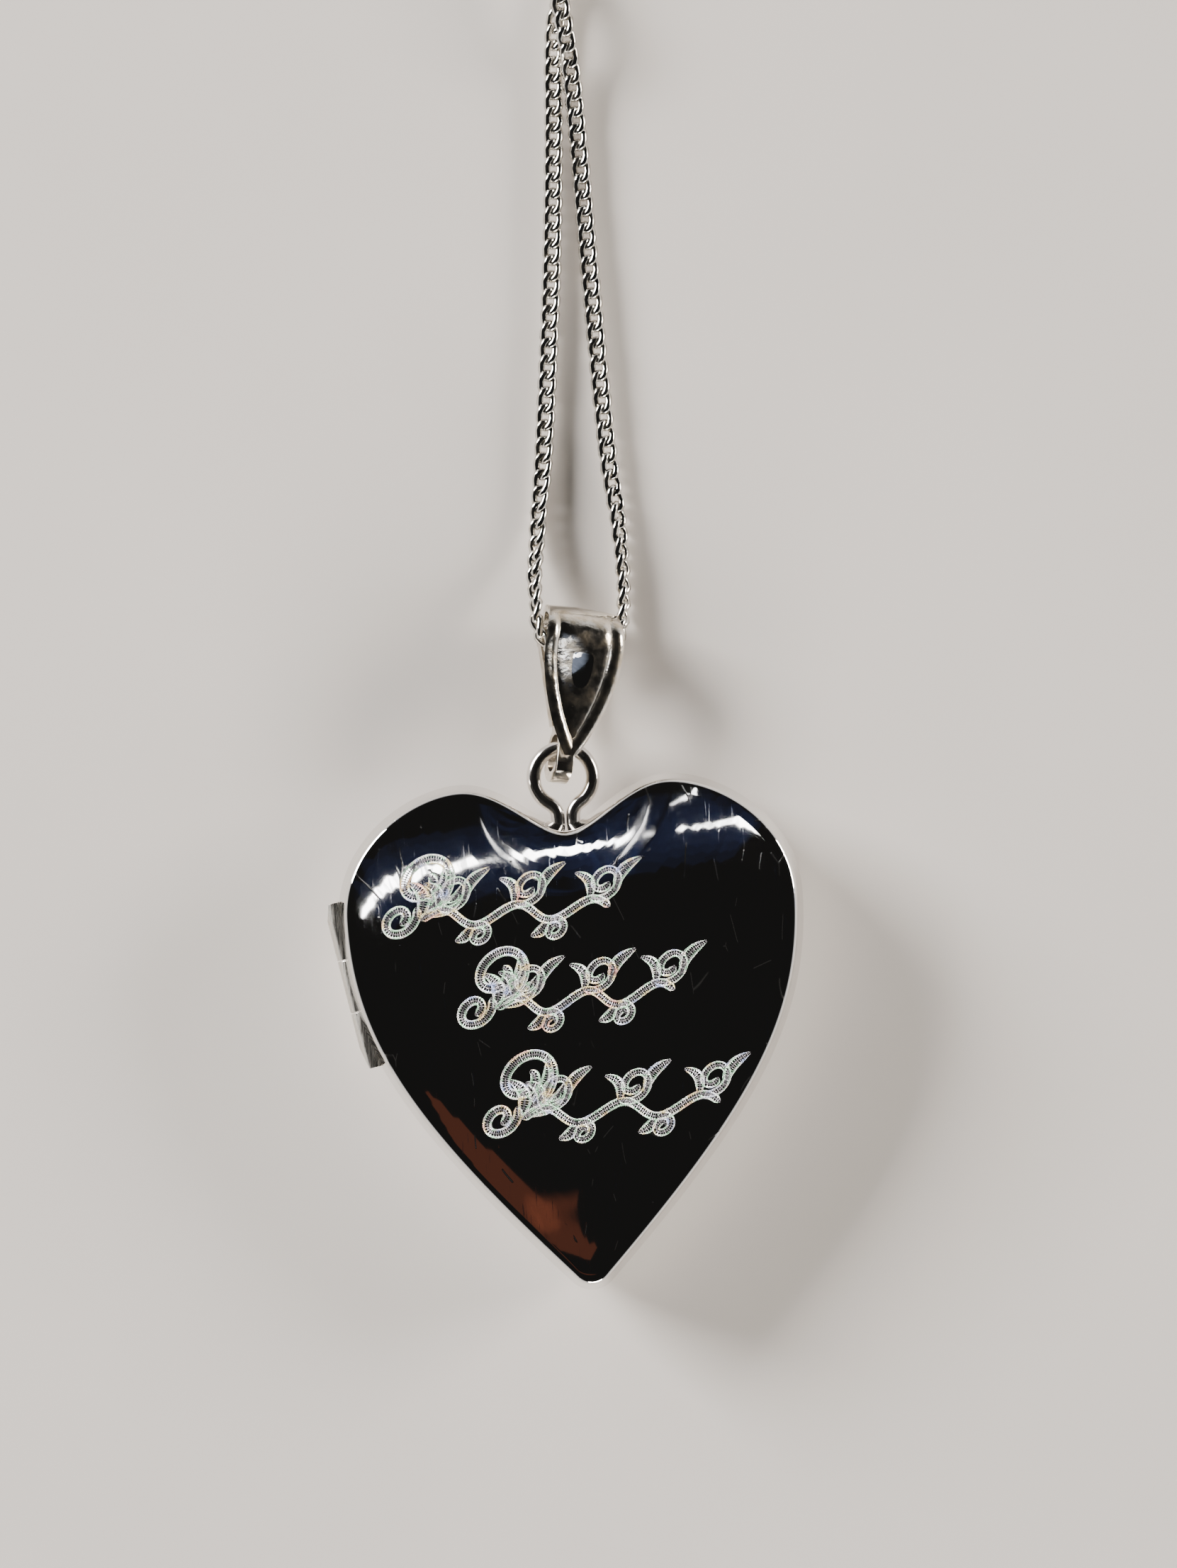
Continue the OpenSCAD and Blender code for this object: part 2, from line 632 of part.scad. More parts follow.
module clasp_body() {
    color(SILVER) translate(clasp_centre) union() {
        difference() {
            union() {
                arc_rod(clasp_tube_r, mouth_to, mouth_from + 360);
                rotate([0, 0, eye_angle]) translate([clasp_eye_at, 0, 0]) small_ring(clasp_eye_r);
            }
            arc_rod(clasp_bore_r, mouth_to - 1, mouth_from + 354);
            rotate([0, 0, mouth_from - 1]) rotate_extrude(angle = 0.99, $fn = 72)
                translate([clasp_r, 0]) circle(r = bolt_r, $fn = 32);
            rotate([0, 0, trigger_angle - 6]) rotate_extrude(angle = bolt_travel + 12, $fn = 72)
                translate([clasp_r, -trigger_r - 0.06]) square([1, 2 * trigger_r + 0.12]);
        }
    }
}
module clasp_bolt() {
    color(DARK_SILVER) translate(clasp_centre) union() {
        arc_rod(bolt_r, mouth_from + 0.5, mouth_to + bolt_tail);
        rotate([0, 0, trigger_angle]) translate([clasp_r, 0, 0]) rotate([0, 90, 0])
            cylinder(r = trigger_r, h = clasp_tube_r + 0.45, $fn = 24);
        rotate([0, 0, trigger_angle]) translate([clasp_r + clasp_tube_r + 0.45, 0, 0])
            sphere(r = 2 * trigger_r, $fn = 24);
    }
}
// The spring that pushes the bolt shut, coiled along the tube
module clasp_spring() {
    wire_at = bolt_r - spring_wire_r;
    steps = spring_turns * 8;
    route = [
        for (i = [0 : steps])
            let (a = spring_from + (spring_to - spring_from) * i / steps, b = 45 * i,
                r = clasp_r + wire_at * cos(b))
            [r * cos(a), r * sin(a), wire_at * sin(b)]
    ];
    color(DARK_SILVER) translate(clasp_centre) tube(route, spring_wire_r, 5);
}
// The ring that ties the clasp's eye to one end of the chain
module clasp_link() {
    color(SILVER) translate(clasp_centre) rotate([0, 0, eye_angle])
    translate([clasp_eye_at + small_ring_r, 0, 0]) rotate([90, 0, 0]) small_ring(small_ring_r);
}
// The ring at the other end of the chain, closed in the clasp
module end_ring() {
    color(SILVER) translate(clasp_centre) rotate([0, 0, 300]) translate([clasp_r + 0.12, 0, 0])
    rotate([90, 0, 0]) small_ring(clasp_tube_r + small_wire_r + 0.15);
}

front_cover();
back_cover();
hinge_knuckle_upper();
hinge_knuckle_middle();
hinge_knuckle_lower();
hinge_pin();
catch_tongue();
catch_keeper();
front_photo_frame();
back_photo_frame();
front_photo_window();
back_photo_window();
front_photo_card();
back_photo_card();
bail_ring();
bail_body();
bail_eye();
bail_panel();
bail_bead();
chain();
chain_coil();
clasp_body();
clasp_bolt();
clasp_spring();
clasp_link();
end_ring();
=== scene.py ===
# %% [markdown]
# # A heart locket on a curb chain
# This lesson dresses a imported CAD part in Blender. The part is a polished silver heart locket that lies on
# its back, hung from a tapered bail on a fine curb chain. The CAD holds the sizes, the joints and the places,
# so every piece here is built around it, in metres, in the same frame: +Z points out of the front cover and
# +Y runs from the tip of the heart to the bail. Sizes are written in millimetres and scaled once.

# %% Load the frame
import math

import bpy
import numpy as np
from mathutils import Matrix, Vector
from mathutils.bvhtree import BVHTree


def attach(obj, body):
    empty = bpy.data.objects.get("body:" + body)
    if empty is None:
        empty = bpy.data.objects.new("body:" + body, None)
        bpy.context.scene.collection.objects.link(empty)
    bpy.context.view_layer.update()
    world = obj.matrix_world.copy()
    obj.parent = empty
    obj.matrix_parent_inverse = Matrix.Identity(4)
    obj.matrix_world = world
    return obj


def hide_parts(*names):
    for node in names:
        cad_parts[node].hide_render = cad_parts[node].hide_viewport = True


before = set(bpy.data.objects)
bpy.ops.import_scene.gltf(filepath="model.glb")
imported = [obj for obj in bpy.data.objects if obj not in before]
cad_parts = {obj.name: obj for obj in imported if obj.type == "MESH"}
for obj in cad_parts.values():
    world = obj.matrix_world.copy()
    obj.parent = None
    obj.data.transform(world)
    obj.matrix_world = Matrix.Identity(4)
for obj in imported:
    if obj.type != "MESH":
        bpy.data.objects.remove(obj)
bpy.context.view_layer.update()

MM = 0.001

# %% [markdown]
# An operator acts on whatever is selected, and loading leaves the CAD selected. So each piece starts by
# deselecting everything. The helpers below are the moves of a maker's hand: start a piece, read its points,
# put them in place, turn a modifier into real mesh, and shade it smooth up to a given crease.

# %% Small helpers
def fresh():
    """Leaves edit mode and deselects everything."""
    if bpy.context.mode != "OBJECT":
        bpy.ops.object.mode_set(mode="OBJECT")
    bpy.ops.object.select_all(action="DESELECT")


def work_on(obj, kind="VERT"):
    """Opens one piece in edit mode with nothing picked."""
    fresh()
    bpy.context.view_layer.objects.active = obj
    obj.select_set(True)
    bpy.ops.object.mode_set(mode="EDIT")
    bpy.ops.mesh.select_mode(type=kind)
    bpy.ops.mesh.select_all(action="DESELECT")


def close():
    bpy.ops.object.mode_set(mode="OBJECT")


def started(name):
    """Names the primitive that was just added."""
    obj = bpy.context.object
    obj.name = obj.data.name = name
    return obj


def points(obj):
    co = np.zeros(len(obj.data.vertices) * 3)
    obj.data.vertices.foreach_get("co", co)
    return co.reshape(-1, 3) / MM


def place(obj, mm):
    obj.data.vertices.foreach_set("co", (np.asarray(mm, float) * MM).ravel())
    obj.data.update()


def modify(obj, kind, **settings):
    """Adds one modifier and applies it."""
    m = obj.modifiers.new(kind.title(), kind)
    for key, value in settings.items():
        setattr(m, key, value)
    fresh()
    obj.select_set(True)
    bpy.context.view_layer.objects.active = obj
    bpy.ops.object.modifier_apply(modifier=m.name)


def smooth(obj, crease=35):
    fresh()
    obj.select_set(True)
    bpy.context.view_layer.objects.active = obj
    bpy.ops.object.shade_smooth_by_angle(angle=math.radians(crease))


def outward_faces(obj, merge=True):
    work_on(obj)
    bpy.ops.mesh.select_all(action="SELECT")
    if merge:
        bpy.ops.mesh.remove_doubles(threshold=0.002 * MM)
    bpy.ops.mesh.normals_make_consistent(inside=False)
    close()


def together(name, pieces):
    """Joins several objects into one piece."""
    fresh()
    for p in pieces:
        p.select_set(True)
    bpy.context.view_layer.objects.active = pieces[0]
    bpy.ops.object.join()
    return started(name)


def triangles(obj):
    return sum(len(p.vertices) - 2 for p in obj.data.polygons)


# %% [markdown]
# ## The camera
# The locket is seen from straight above, from half a metre away, so its sides hardly splay. The heart leans
# a little to the left in the frame, so the camera is rolled rather than the locket. The camera's height and
# its angle of view together give a frame 74.1 mm tall at the level of the cover.

# %% Camera
VIEW_MID = (1.18, 11.79)
VIEW_TALL = 74.1
ROLL = math.radians(-3.38)
CAMERA_Z = 503.0
lens_data = bpy.data.cameras.new("camera")
lens_data.sensor_fit = "VERTICAL"
lens_data.angle = 2 * math.atan(VIEW_TALL / 2 / (CAMERA_Z - 3))
lens_data.clip_start, lens_data.clip_end = 0.01, 20
camera = bpy.data.objects.new("camera", lens_data)
camera.location = (VIEW_MID[0] * MM, VIEW_MID[1] * MM, CAMERA_Z * MM)
camera.rotation_euler = (0, 0, ROLL)
bpy.context.scene.collection.objects.link(camera)
bpy.context.scene.camera = camera
print("camera", tuple(camera.location), "angle", round(math.degrees(lens_data.angle), 2))

# %% [markdown]
# ## The chain
# The chain is 406 mm of curb chain, which is a 16 inch necklace. It comes down beside itself, goes through
# the bail and back up, crosses itself once, and the rest is wound in a round coil beyond the frame, two
# layers deep, with the clasp lying on top. First comes the line that its middle follows: a smooth curve
# through the points of the route, with a spiral at each end of it.

# %% The chain's line
CHAIN_D = 0.95
LINK_PITCH = 0.785
LEFT_STRAND = [
    (6.5, 54.2, 0.5), (4.4, 52.6, 0.5), (3.0, 51.0, 0.5), (2.0, 48.9, 0.5), (1.6, 46.9, 0.5), (1.3, 42, 0.5),
    (0.8, 35.5, 0.5), (0, 27.8, 0.5), (-0.4, 25, 0.5), (-0.6, 23.3, 0.7), (-0.8, 21.8, 1.2)]
THROUGH_BAIL = [
    (-0.8, 20.4, 1.7), (-0.8, 19.5, 1.9), (-0.5, 18.7, 2), (0.1, 18.1, 2), (1, 17.8, 1.7), (1.9, 17.8, 1.4),
    (2.7, 18.2, 1.1), (3.1, 18.9, 0.8), (3.3, 19.8, 0.6)]
RIGHT_STRAND = [
    (3.4, 21.5, 0.5), (3.3, 24.5, 0.5), (3, 27.7, 0.5), (2.7, 35.4, 0.5), (2.5, 42, 0.5), (2.35, 45.5, 0.8),
    (2.2, 47.2, 1.3), (2, 48.9, 1.5), (1.4, 51, 1.5), (0, 52.6, 1.5), (-2.5, 54.2, 1.5)]
LEFT_END = [(0.3, 63.2, 0.5), (-0.5, 62.4, 0.6), (-0.9, 61.5, 0.9), (-0.8, 60.6, 1.5), (-0.3, 60.2, 2.2)]
RIGHT_END = [(3.9, 63.1, 1.5), (4.7, 62.1, 1.5), (4.9, 61.2, 1.6), (4.4, 60.7, 2.0), (3.7, 61.0, 2.4)]
COIL_MID = np.array([2, 60.3])
COIL_OUT = 7.86


def smooth_line(route, step=0.2):
    """Evenly spaced points on a smooth curve through a route."""
    p = np.array(route, float)
    p = np.vstack([2 * p[0] - p[1], p, 2 * p[-1] - p[-2]])
    made = []
    for i in range(1, len(p) - 2):
        a, b, c, d = p[i - 1:i + 3]
        for t in np.linspace(0, 1, 24, endpoint=False):
            made.append(0.5 * (2 * b + (c - a) * t + (2 * a - 5 * b + 4 * c - d) * t ** 2
                               + (3 * b - a - 3 * c + d) * t ** 3))
    return evenly(np.vstack([made, p[-2]]), step)


def evenly(line, step):
    line = np.asarray(line, float)
    run = np.concatenate([[0], np.cumsum(np.linalg.norm(np.diff(line, axis=0), axis=1))])
    at = np.linspace(0, run[-1], max(2, int(round(run[-1] / step)) + 1))
    return np.stack([np.interp(at, run, line[:, k]) for k in range(line.shape[1])], 1)


def length(line):
    return float(np.linalg.norm(np.diff(line, axis=0), axis=1).sum())


def spiral(start, end, turns, z, way):
    """From a point on the coil's outside, out to its widest turn, then round and inwards."""
    a, b = np.array(start[:2]) - COIL_MID, np.array(end[:2]) - COIL_MID
    ra, rb = np.hypot(*a), np.hypot(*b)
    from_angle, to_angle = math.atan2(a[1], a[0]), math.atan2(b[1], b[0])
    sweep = (to_angle - from_angle) * way % (2 * math.pi) + 2 * math.pi * turns
    t = np.linspace(0, 1, int(40 * turns) + 60)
    angle = from_angle + way * sweep * t
    r = COIL_OUT + (rb - COIL_OUT) * t + (ra - COIL_OUT) * np.exp(-t * sweep / 0.8)
    return [(COIL_MID[0] + q * math.cos(g), COIL_MID[1] + q * math.sin(g), z) for q, g in zip(r, angle)][1:-1]


left_turns = spiral(LEFT_STRAND[0], LEFT_END[0], 4, 0.5, 1)
right_turns = spiral(RIGHT_STRAND[-1], RIGHT_END[0], 4, 1.5, -1)
whole = (LEFT_END[::-1] + left_turns[::-1] + LEFT_STRAND + THROUGH_BAIL
         + RIGHT_STRAND + right_turns + RIGHT_END)
chain_line = smooth_line(whole, LINK_PITCH / 2)
print("chain line", round(length(chain_line), 1), "mm in", len(chain_line), "points")

# %% [markdown]
# Each link of a curb chain is an oval of wire that has been twisted along its length, so that its two ends
# stand square to each other and the chain lies flat. One link is shaped from a torus. Its half length is half
# of the pitch and one wire's thickness together, which is what makes neighbours hook into each other. It has
# only a few dozen faces, because there are hundreds of links, and smooth shading rounds it off.

# %% One link
LINK_WIRE = 0.33
LINK_A = (LINK_PITCH + LINK_WIRE) / 2
LINK_B = (CHAIN_D - LINK_WIRE) / 2


def oval(angle):
    """A point on the twisted oval that the link's wire follows."""
    c, s = math.cos(angle), math.sin(angle)
    x = LINK_A * math.copysign(abs(c) ** 0.85, c)
    y = LINK_B * math.copysign(abs(s) ** 0.85, s)
    turn = math.radians(42) * x / LINK_A
    return Vector((x, y * math.cos(turn), y * math.sin(turn)))


fresh()
bpy.ops.mesh.primitive_torus_add(major_segments=14, minor_segments=6, major_radius=1, minor_radius=0.1)
link = started("link")
shaped = []
for v in link.data.vertices:
    around = math.atan2(v.co.y, v.co.x)
    tube = math.atan2(v.co.z, math.hypot(v.co.x, v.co.y) - 1)
    mid = oval(around)
    along = (oval(around + 0.01) - oval(around - 0.01)).normalized()
    out = mid - along * mid.dot(along)
    out.normalize()
    up = along.cross(out).normalized()
    shaped.append(mid + LINK_WIRE / 2 * (out * math.cos(tube) - up * math.sin(tube)))
link_points = np.array(shaped)
link_faces = [tuple(p.vertices) for p in link.data.polygons]
bpy.data.objects.remove(link)
print("link", len(link_faces), "faces,", round(2 * LINK_A + LINK_WIRE, 2), "mm long")

# %% [markdown]
# The links are laid along the line one pitch apart, each turned to the line's direction there. Flat on the
# table they lie on their broad side, with a little unevenness from link to link. Near the bail the chain
# rises and hangs over the fold, and there the links roll on to their edge.

# %% The chain
def near_bail(p):
    """0 on the table, 1 where the chain runs through the bail."""
    return float(np.clip((30.0 - p[1]) / 8.0, 0, 1)) ** 1.5


rng = np.random.default_rng(7)
verts, faces = [], []
line_run = np.linspace(0, length(chain_line), len(chain_line))
count = int(length(chain_line) / LINK_PITCH)
for i in range(count):
    s = (i + 0.5) * length(chain_line) / count
    mid, before, after = (np.array([np.interp(q, line_run, chain_line[:, k]) for k in range(3)])
                          for q in (s, s - 0.3, s + 0.3))
    t = (after - before) / np.linalg.norm(after - before)
    side = np.cross((0, 0, 1), t)
    side /= np.linalg.norm(side)
    up = np.cross(t, side)
    roll = near_bail(mid) * math.radians(68) + math.radians(rng.normal(0, 5))
    side, up = side * math.cos(roll) + up * math.sin(roll), up * math.cos(roll) - side * math.sin(roll)
    mid = mid - (0, 0, 0.1 * (1 - near_bail(mid)))
    base = len(verts) * len(link_points)
    link = mid + link_points @ np.stack([t, side, up])
    link[:, 2] += max(0, 0.02 - link[:, 2].min())
    verts.append(link)
    faces += [tuple(base + k for k in f) for f in link_faces]
chain_mesh = bpy.data.meshes.new("curb_chain")
chain_mesh.from_pydata((np.vstack(verts) * MM).tolist(), [], faces)
curb_chain = bpy.data.objects.new("curb_chain", chain_mesh)
bpy.context.scene.collection.objects.link(curb_chain)
outward_faces(curb_chain, merge=False)
curb_chain.data.shade_smooth()
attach(curb_chain, "bail_and_chain")
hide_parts("chain", "chain_coil")
print("chain", count, "links,", triangles(curb_chain), "triangles")

# %% [markdown]
# ## The covers
# Each cover is a stamped heart of 0.4 mm sheet: a side wall that leans in a little, a crisp rim, and a face
# that domes by 0.7 mm. A mirror shows the smallest ripple, so the outline is a smooth curve sampled evenly.
# It is made of three Bezier curves a side and a round tip.

# %% The heart's outline
W, H, CLEFT, LOBE_X, WIDEST, TIP_R, TIP_HALF = 22.0, 24.2, 2.2, 4.9, 6.1, 1.3, math.radians(44)
WALL_H, DOME_H, SHEET, DRAFT, PART_Z = 1.7, 0.7, 0.4, 0.33, 2.4
AROUND = 384


def bezier(a, b, c, d, n=60):
    t = np.linspace(0, 1, n, endpoint=False)[:, None]
    s = 1 - t
    a, b, c, d = map(np.array, (a, b, c, d))
    return s ** 3 * a + 3 * s * s * t * b + 3 * s * t * t * c + t ** 3 * d


def heart_outline(n):
    """n evenly spaced points, anticlockwise from the valley: down the left side and up the right side."""
    top, tip = H / 2, -H / 2
    cleft, widest = top - CLEFT, top - WIDEST
    shoulder = W / 2 - LOBE_X
    end = np.array([TIP_R * math.cos(TIP_HALF), tip + TIP_R - TIP_R * math.sin(TIP_HALF)])
    fall = widest - end[1]
    arc = [(TIP_R * math.cos(a), tip + TIP_R + TIP_R * math.sin(a))
           for a in np.linspace(-TIP_HALF, -math.pi / 2, 30)]
    right = np.vstack([
        bezier((0, cleft), (0.235 * LOBE_X, cleft), (0.57 * LOBE_X, top), (LOBE_X, top)),
        bezier((LOBE_X, top), (LOBE_X + 0.38 * shoulder, top), (W / 2, widest + 0.64 * WIDEST),
               (W / 2, widest)),
        bezier((W / 2, widest), (W / 2, widest - 0.335 * fall),
               end + 0.59 * fall * np.array([math.sin(TIP_HALF), math.cos(TIP_HALF)]), end),
        arc])
    right = evenly(right, length(right) / (n // 2))
    left = right * (-1, 1)
    return np.vstack([left[:-1], right[:0:-1]])


outline = heart_outline(AROUND)
leaving = np.roll(outline, -1, 0) - np.roll(outline, 1, 0)
leaving /= np.linalg.norm(leaving, axis=1)[:, None]
outline_normal = np.stack([leaving[:, 1], -leaving[:, 0]], 1)


def grown(d):
    return outline + d * outline_normal


print("outline", len(outline), "points,", round(length(np.vstack([outline, outline[:1]])), 1), "mm round")

# %% [markdown]
# A cover starts as a circle of as many corners as the outline has points. Its edge is extruded and drawn in
# ring by ring, as one would by hand, up the wall and across the face, and closed in the middle. Then each
# ring is put on its own heart: the wall's rings lean in by the draft, and the face's rings shrink towards
# the middle.

# %% A cover's rings
WALL_STEPS = [0, 0.16, 0.34, 0.5, 0.66, 0.84, 1.0]
FACE_STEPS = [0.955, 0.945, 0.935, 0.92, 0.908, 0.895, 0.872, 0.85, 0.826, 0.8, 0.768, 0.735, 0.7, 0.66,
              0.62, 0.58, 0.54, 0.5, 0.46, 0.42, 0.38, 0.34, 0.3, 0.26, 0.22, 0.18, 0.14, 0.1, 0.06, 0.03]


def heart_skin(name):
    """Concentric rings of AROUND corners, closed in the middle: the points are put in place afterwards."""
    fresh()
    bpy.ops.mesh.primitive_circle_add(vertices=AROUND, radius=10 * MM, fill_type="NOTHING")
    obj = started(name)
    work_on(obj, "EDGE")
    bpy.ops.mesh.select_all(action="SELECT")
    for step in range(len(WALL_STEPS) + len(FACE_STEPS) - 1):
        bpy.ops.mesh.extrude_edges_move()
        bpy.ops.transform.resize(value=(0.93, 0.93, 0.93))
    bpy.ops.mesh.extrude_edges_move()
    bpy.ops.mesh.merge(type="CENTER")
    close()
    return obj


def ring_of(obj):
    """Each point's ring, 0 at the mouth, and its place round the ring."""
    co = points(obj)
    radius = np.hypot(co[:, 0], co[:, 1])
    with np.errstate(divide="ignore"):
        ring = np.rint(np.log(np.maximum(radius, 1e-9) / 10) / math.log(0.93)).astype(int)
    turn = np.rint(np.arctan2(-co[:, 0], co[:, 1]) / (2 * math.pi) * AROUND).astype(int) % AROUND
    last = len(WALL_STEPS) + len(FACE_STEPS)
    return np.minimum(ring, last), turn


def face_height(flat_xy, faces_of, fixed):
    """The shape of a film blown up inside the outline: no ripple anywhere, 0 at the rim and 1 at the top."""
    tri = np.array([(f[0], f[k], f[k + 1]) for f in faces_of for k in range(1, len(f) - 1)])
    n = len(flat_xy)
    weight_i, weight_j, weight = [], [], []
    area = np.zeros(n)
    for a, b, c in ((0, 1, 2), (1, 2, 0), (2, 0, 1)):
        u, v = flat_xy[tri[:, a]] - flat_xy[tri[:, c]], flat_xy[tri[:, b]] - flat_xy[tri[:, c]]
        twice = np.abs(u[:, 0] * v[:, 1] - u[:, 1] * v[:, 0]) + 1e-12
        weight_i.append(tri[:, a]), weight_j.append(tri[:, b]), weight.append((u * v).sum(1) / twice / 2)
        np.add.at(area, tri[:, c], twice / 6)
    i, j, w = map(np.concatenate, (weight_i, weight_j, weight))
    free = ~fixed

    def pull(h):
        d = w * (h[i] - h[j])
        return (np.bincount(i, d, n) - np.bincount(j, d, n)) * free

    spread = np.bincount(i, w, n) + np.bincount(j, w, n) + 1e-9
    h, r = np.zeros(n), area * free
    z = r / spread * free
    p, rz = z.copy(), (r * z).sum()
    for _ in range(900):
        q = pull(p)
        step = rz / (p * q).sum()
        h, r = h + step * p, r - step * q
        z = r / spread * free
        rz, old = (r * z).sum(), rz
        if rz < 1e-16:
            break
        p = z + rz / old * p
    return h / h.max()


# %% [markdown]
# The face is blown up like a soap film over the rim, worked out as the film's balance of forces, because
# a dome made of shrunken hearts would have a crease running in from the valley. The height is then sharpened
# a little, so the face is flatter in its middle and falls faster near the rim. The back cover keeps a level
# middle to rest on. Solidify gives the sheet its thickness, and then the rim is rounded to a 0.25 mm
# shoulder.

# %% Both covers
def make_cover(name, back):
    obj = heart_skin(name)
    ring, turn = ring_of(obj)
    walls = len(WALL_STEPS)
    xy, z = np.zeros((len(ring), 2)), np.zeros(len(ring))
    for r, share in enumerate(WALL_STEPS):
        on = ring == r
        xy[on] = grown(-DRAFT * share)[turn[on]]
        z[on] = WALL_H * share
    rim = grown(-DRAFT)
    for r, share in enumerate(FACE_STEPS):
        on = ring == walls + r
        xy[on] = rim[turn[on]] * share
    on_face = ring >= walls - 1
    index = np.full(len(ring), -1)
    index[on_face] = np.arange(on_face.sum())
    face_list = [tuple(index[list(p.vertices)]) for p in obj.data.polygons if on_face[list(p.vertices)].all()]
    rise = face_height(xy[on_face], face_list, ring[on_face] == walls - 1)
    if back:
        level = np.minimum(1, rise / 0.84)
        rise = 1 - (1 - level) ** 2.1
    else:
        rise = 1 - (1 - rise) ** 1.2
    z[on_face] = WALL_H + DOME_H * rise
    z = PART_Z - z if back else PART_Z + z
    place(obj, np.column_stack([xy, z]))
    outward_faces(obj)
    modify(obj, "SOLIDIFY", thickness=SHEET * MM, offset=-1)
    co = points(obj)
    seam = 0.012
    co[:, 2] = np.minimum(co[:, 2], PART_Z - seam) if back else np.maximum(co[:, 2], PART_Z + seam)
    place(obj, co)
    rim_z = PART_Z + (-WALL_H if back else WALL_H)
    work_on(obj, "EDGE")
    close()
    for e in obj.data.edges:
        e.select = all(abs(co[v][2] - rim_z) < 1e-4 for v in e.vertices)
    bpy.ops.object.mode_set(mode="EDIT")
    bpy.ops.mesh.bevel(offset=0.25 * MM, segments=6, profile=0.5, affect="EDGES")
    close()
    co = points(obj)
    print(name, triangles(obj), "triangles, from", co.min(0).round(2), "to", co.max(0).round(2))
    return obj


heart_front = make_cover("heart_front", back=False)
heart_back = make_cover("heart_back", back=True)
front_tree = BVHTree.FromPolygons([v.co.copy() for v in heart_front.data.vertices],
                                  [tuple(p.vertices) for p in heart_front.data.polygons])


def face_z(x, y):
    """Height of the front face, in mm, and its direction, under a point."""
    hit, normal, _, _ = front_tree.ray_cast(Vector((x, y, 10)) * MM, Vector((0, 0, -1)))
    return (hit.z / MM, normal) if hit else (PART_Z + WALL_H, Vector((0, 0, 1)))


print("face height in the middle", round(face_z(0, 0)[0], 3), "and by the valley", round(face_z(0, 9)[0], 3))

# %% [markdown]
# The hinge lets its three knuckles into the covers' side walls. Each cover is cut for them with a Boolean:
# close round its own knuckle, and with room round the other cover's, which turns there.

# %% Hinge seats
HINGE_MID = (-10.391, 2.94916, 2.4)
HINGE_TURN = math.radians(10.8526)
KNUCKLE_R, COVER_CLEAR, KNUCKLE_GAP = 0.55, 0.08, 0.05
SPANS = {"lower": (-4.0, -1.3), "middle": (-1.25, 1.25), "upper": (1.3, 4.0)}


def hinge_rod(name, r, span, corners=48):
    """A rod along the pin's line, between two places measured from the hinge's middle."""
    fresh()
    bpy.ops.mesh.primitive_cylinder_add(vertices=corners, radius=r * MM, depth=(span[1] - span[0]) * MM)
    rod = started(name)
    co = points(rod)
    co[:, 2] += (span[0] + span[1]) / 2
    along = np.array([-math.sin(HINGE_TURN), math.cos(HINGE_TURN), 0])
    across = np.array([math.cos(HINGE_TURN), math.sin(HINGE_TURN), 0])
    place(rod, np.array(HINGE_MID) + np.outer(co[:, 2], along) + np.outer(co[:, 0], across)
          + np.outer(-co[:, 1], (0, 0, 1)))
    return rod


def cut(obj, tool):
    modify(obj, "BOOLEAN", operation="DIFFERENCE", object=tool, solver="EXACT")
    bpy.data.objects.remove(tool)


for cover, own in ((heart_front, ("middle",)), (heart_back, ("lower", "upper"))):
    for name, (a, b) in SPANS.items():
        r = KNUCKLE_R + (0.005 if name in own else COVER_CLEAR)
        cut(cover, hinge_rod("seat", r, (a - KNUCKLE_GAP, b + KNUCKLE_GAP)))
    smooth(cover, 40)
    print(cover.name, "with its seats", triangles(cover), "triangles")
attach(heart_front, "locket_front")
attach(heart_back, "locket_back")
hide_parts("front_cover")
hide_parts("back_cover")

# %% [markdown]
# ## The engraving
# The front is engraved with three sprays of scrollwork, one above the other. An engraver's line is a shallow
# cut with a bright edge on each side and fine cross cuts between, which glitters against the black mirror of
# the face. Each stroke is a narrow grid laid along a curve on the face: two ridges along its sides, a lower
# one down its middle, and every other row a little lower for the cross cuts. A spray is a stem with curling
# tendrils and pointed leaves, all leaning to the right as from one hand.

# %% Scrollwork strokes
STROKE_W = 0.44


def curl(x, y, r, start, turns, way, shrink=0.3, n=40):
    """A tendril: a spiral about a centre, from its outside in."""
    t = np.linspace(0, 1, n)
    a = math.radians(start) + way * 2 * math.pi * turns * t
    q = r * (1 - (1 - shrink) * t)
    return np.stack([x + q * np.cos(a), y + q * np.sin(a)], 1)


def leaf(x, y, angle, long, bend=0.25, n=16):
    """The line down the middle of a leaf."""
    t = np.linspace(0, 1, n)
    a = math.radians(angle)
    u, v = long * t, bend * long * np.sin(math.pi * t)
    return np.stack([x + u * math.cos(a) - v * math.sin(a), y + u * math.sin(a) + v * math.cos(a)], 1)


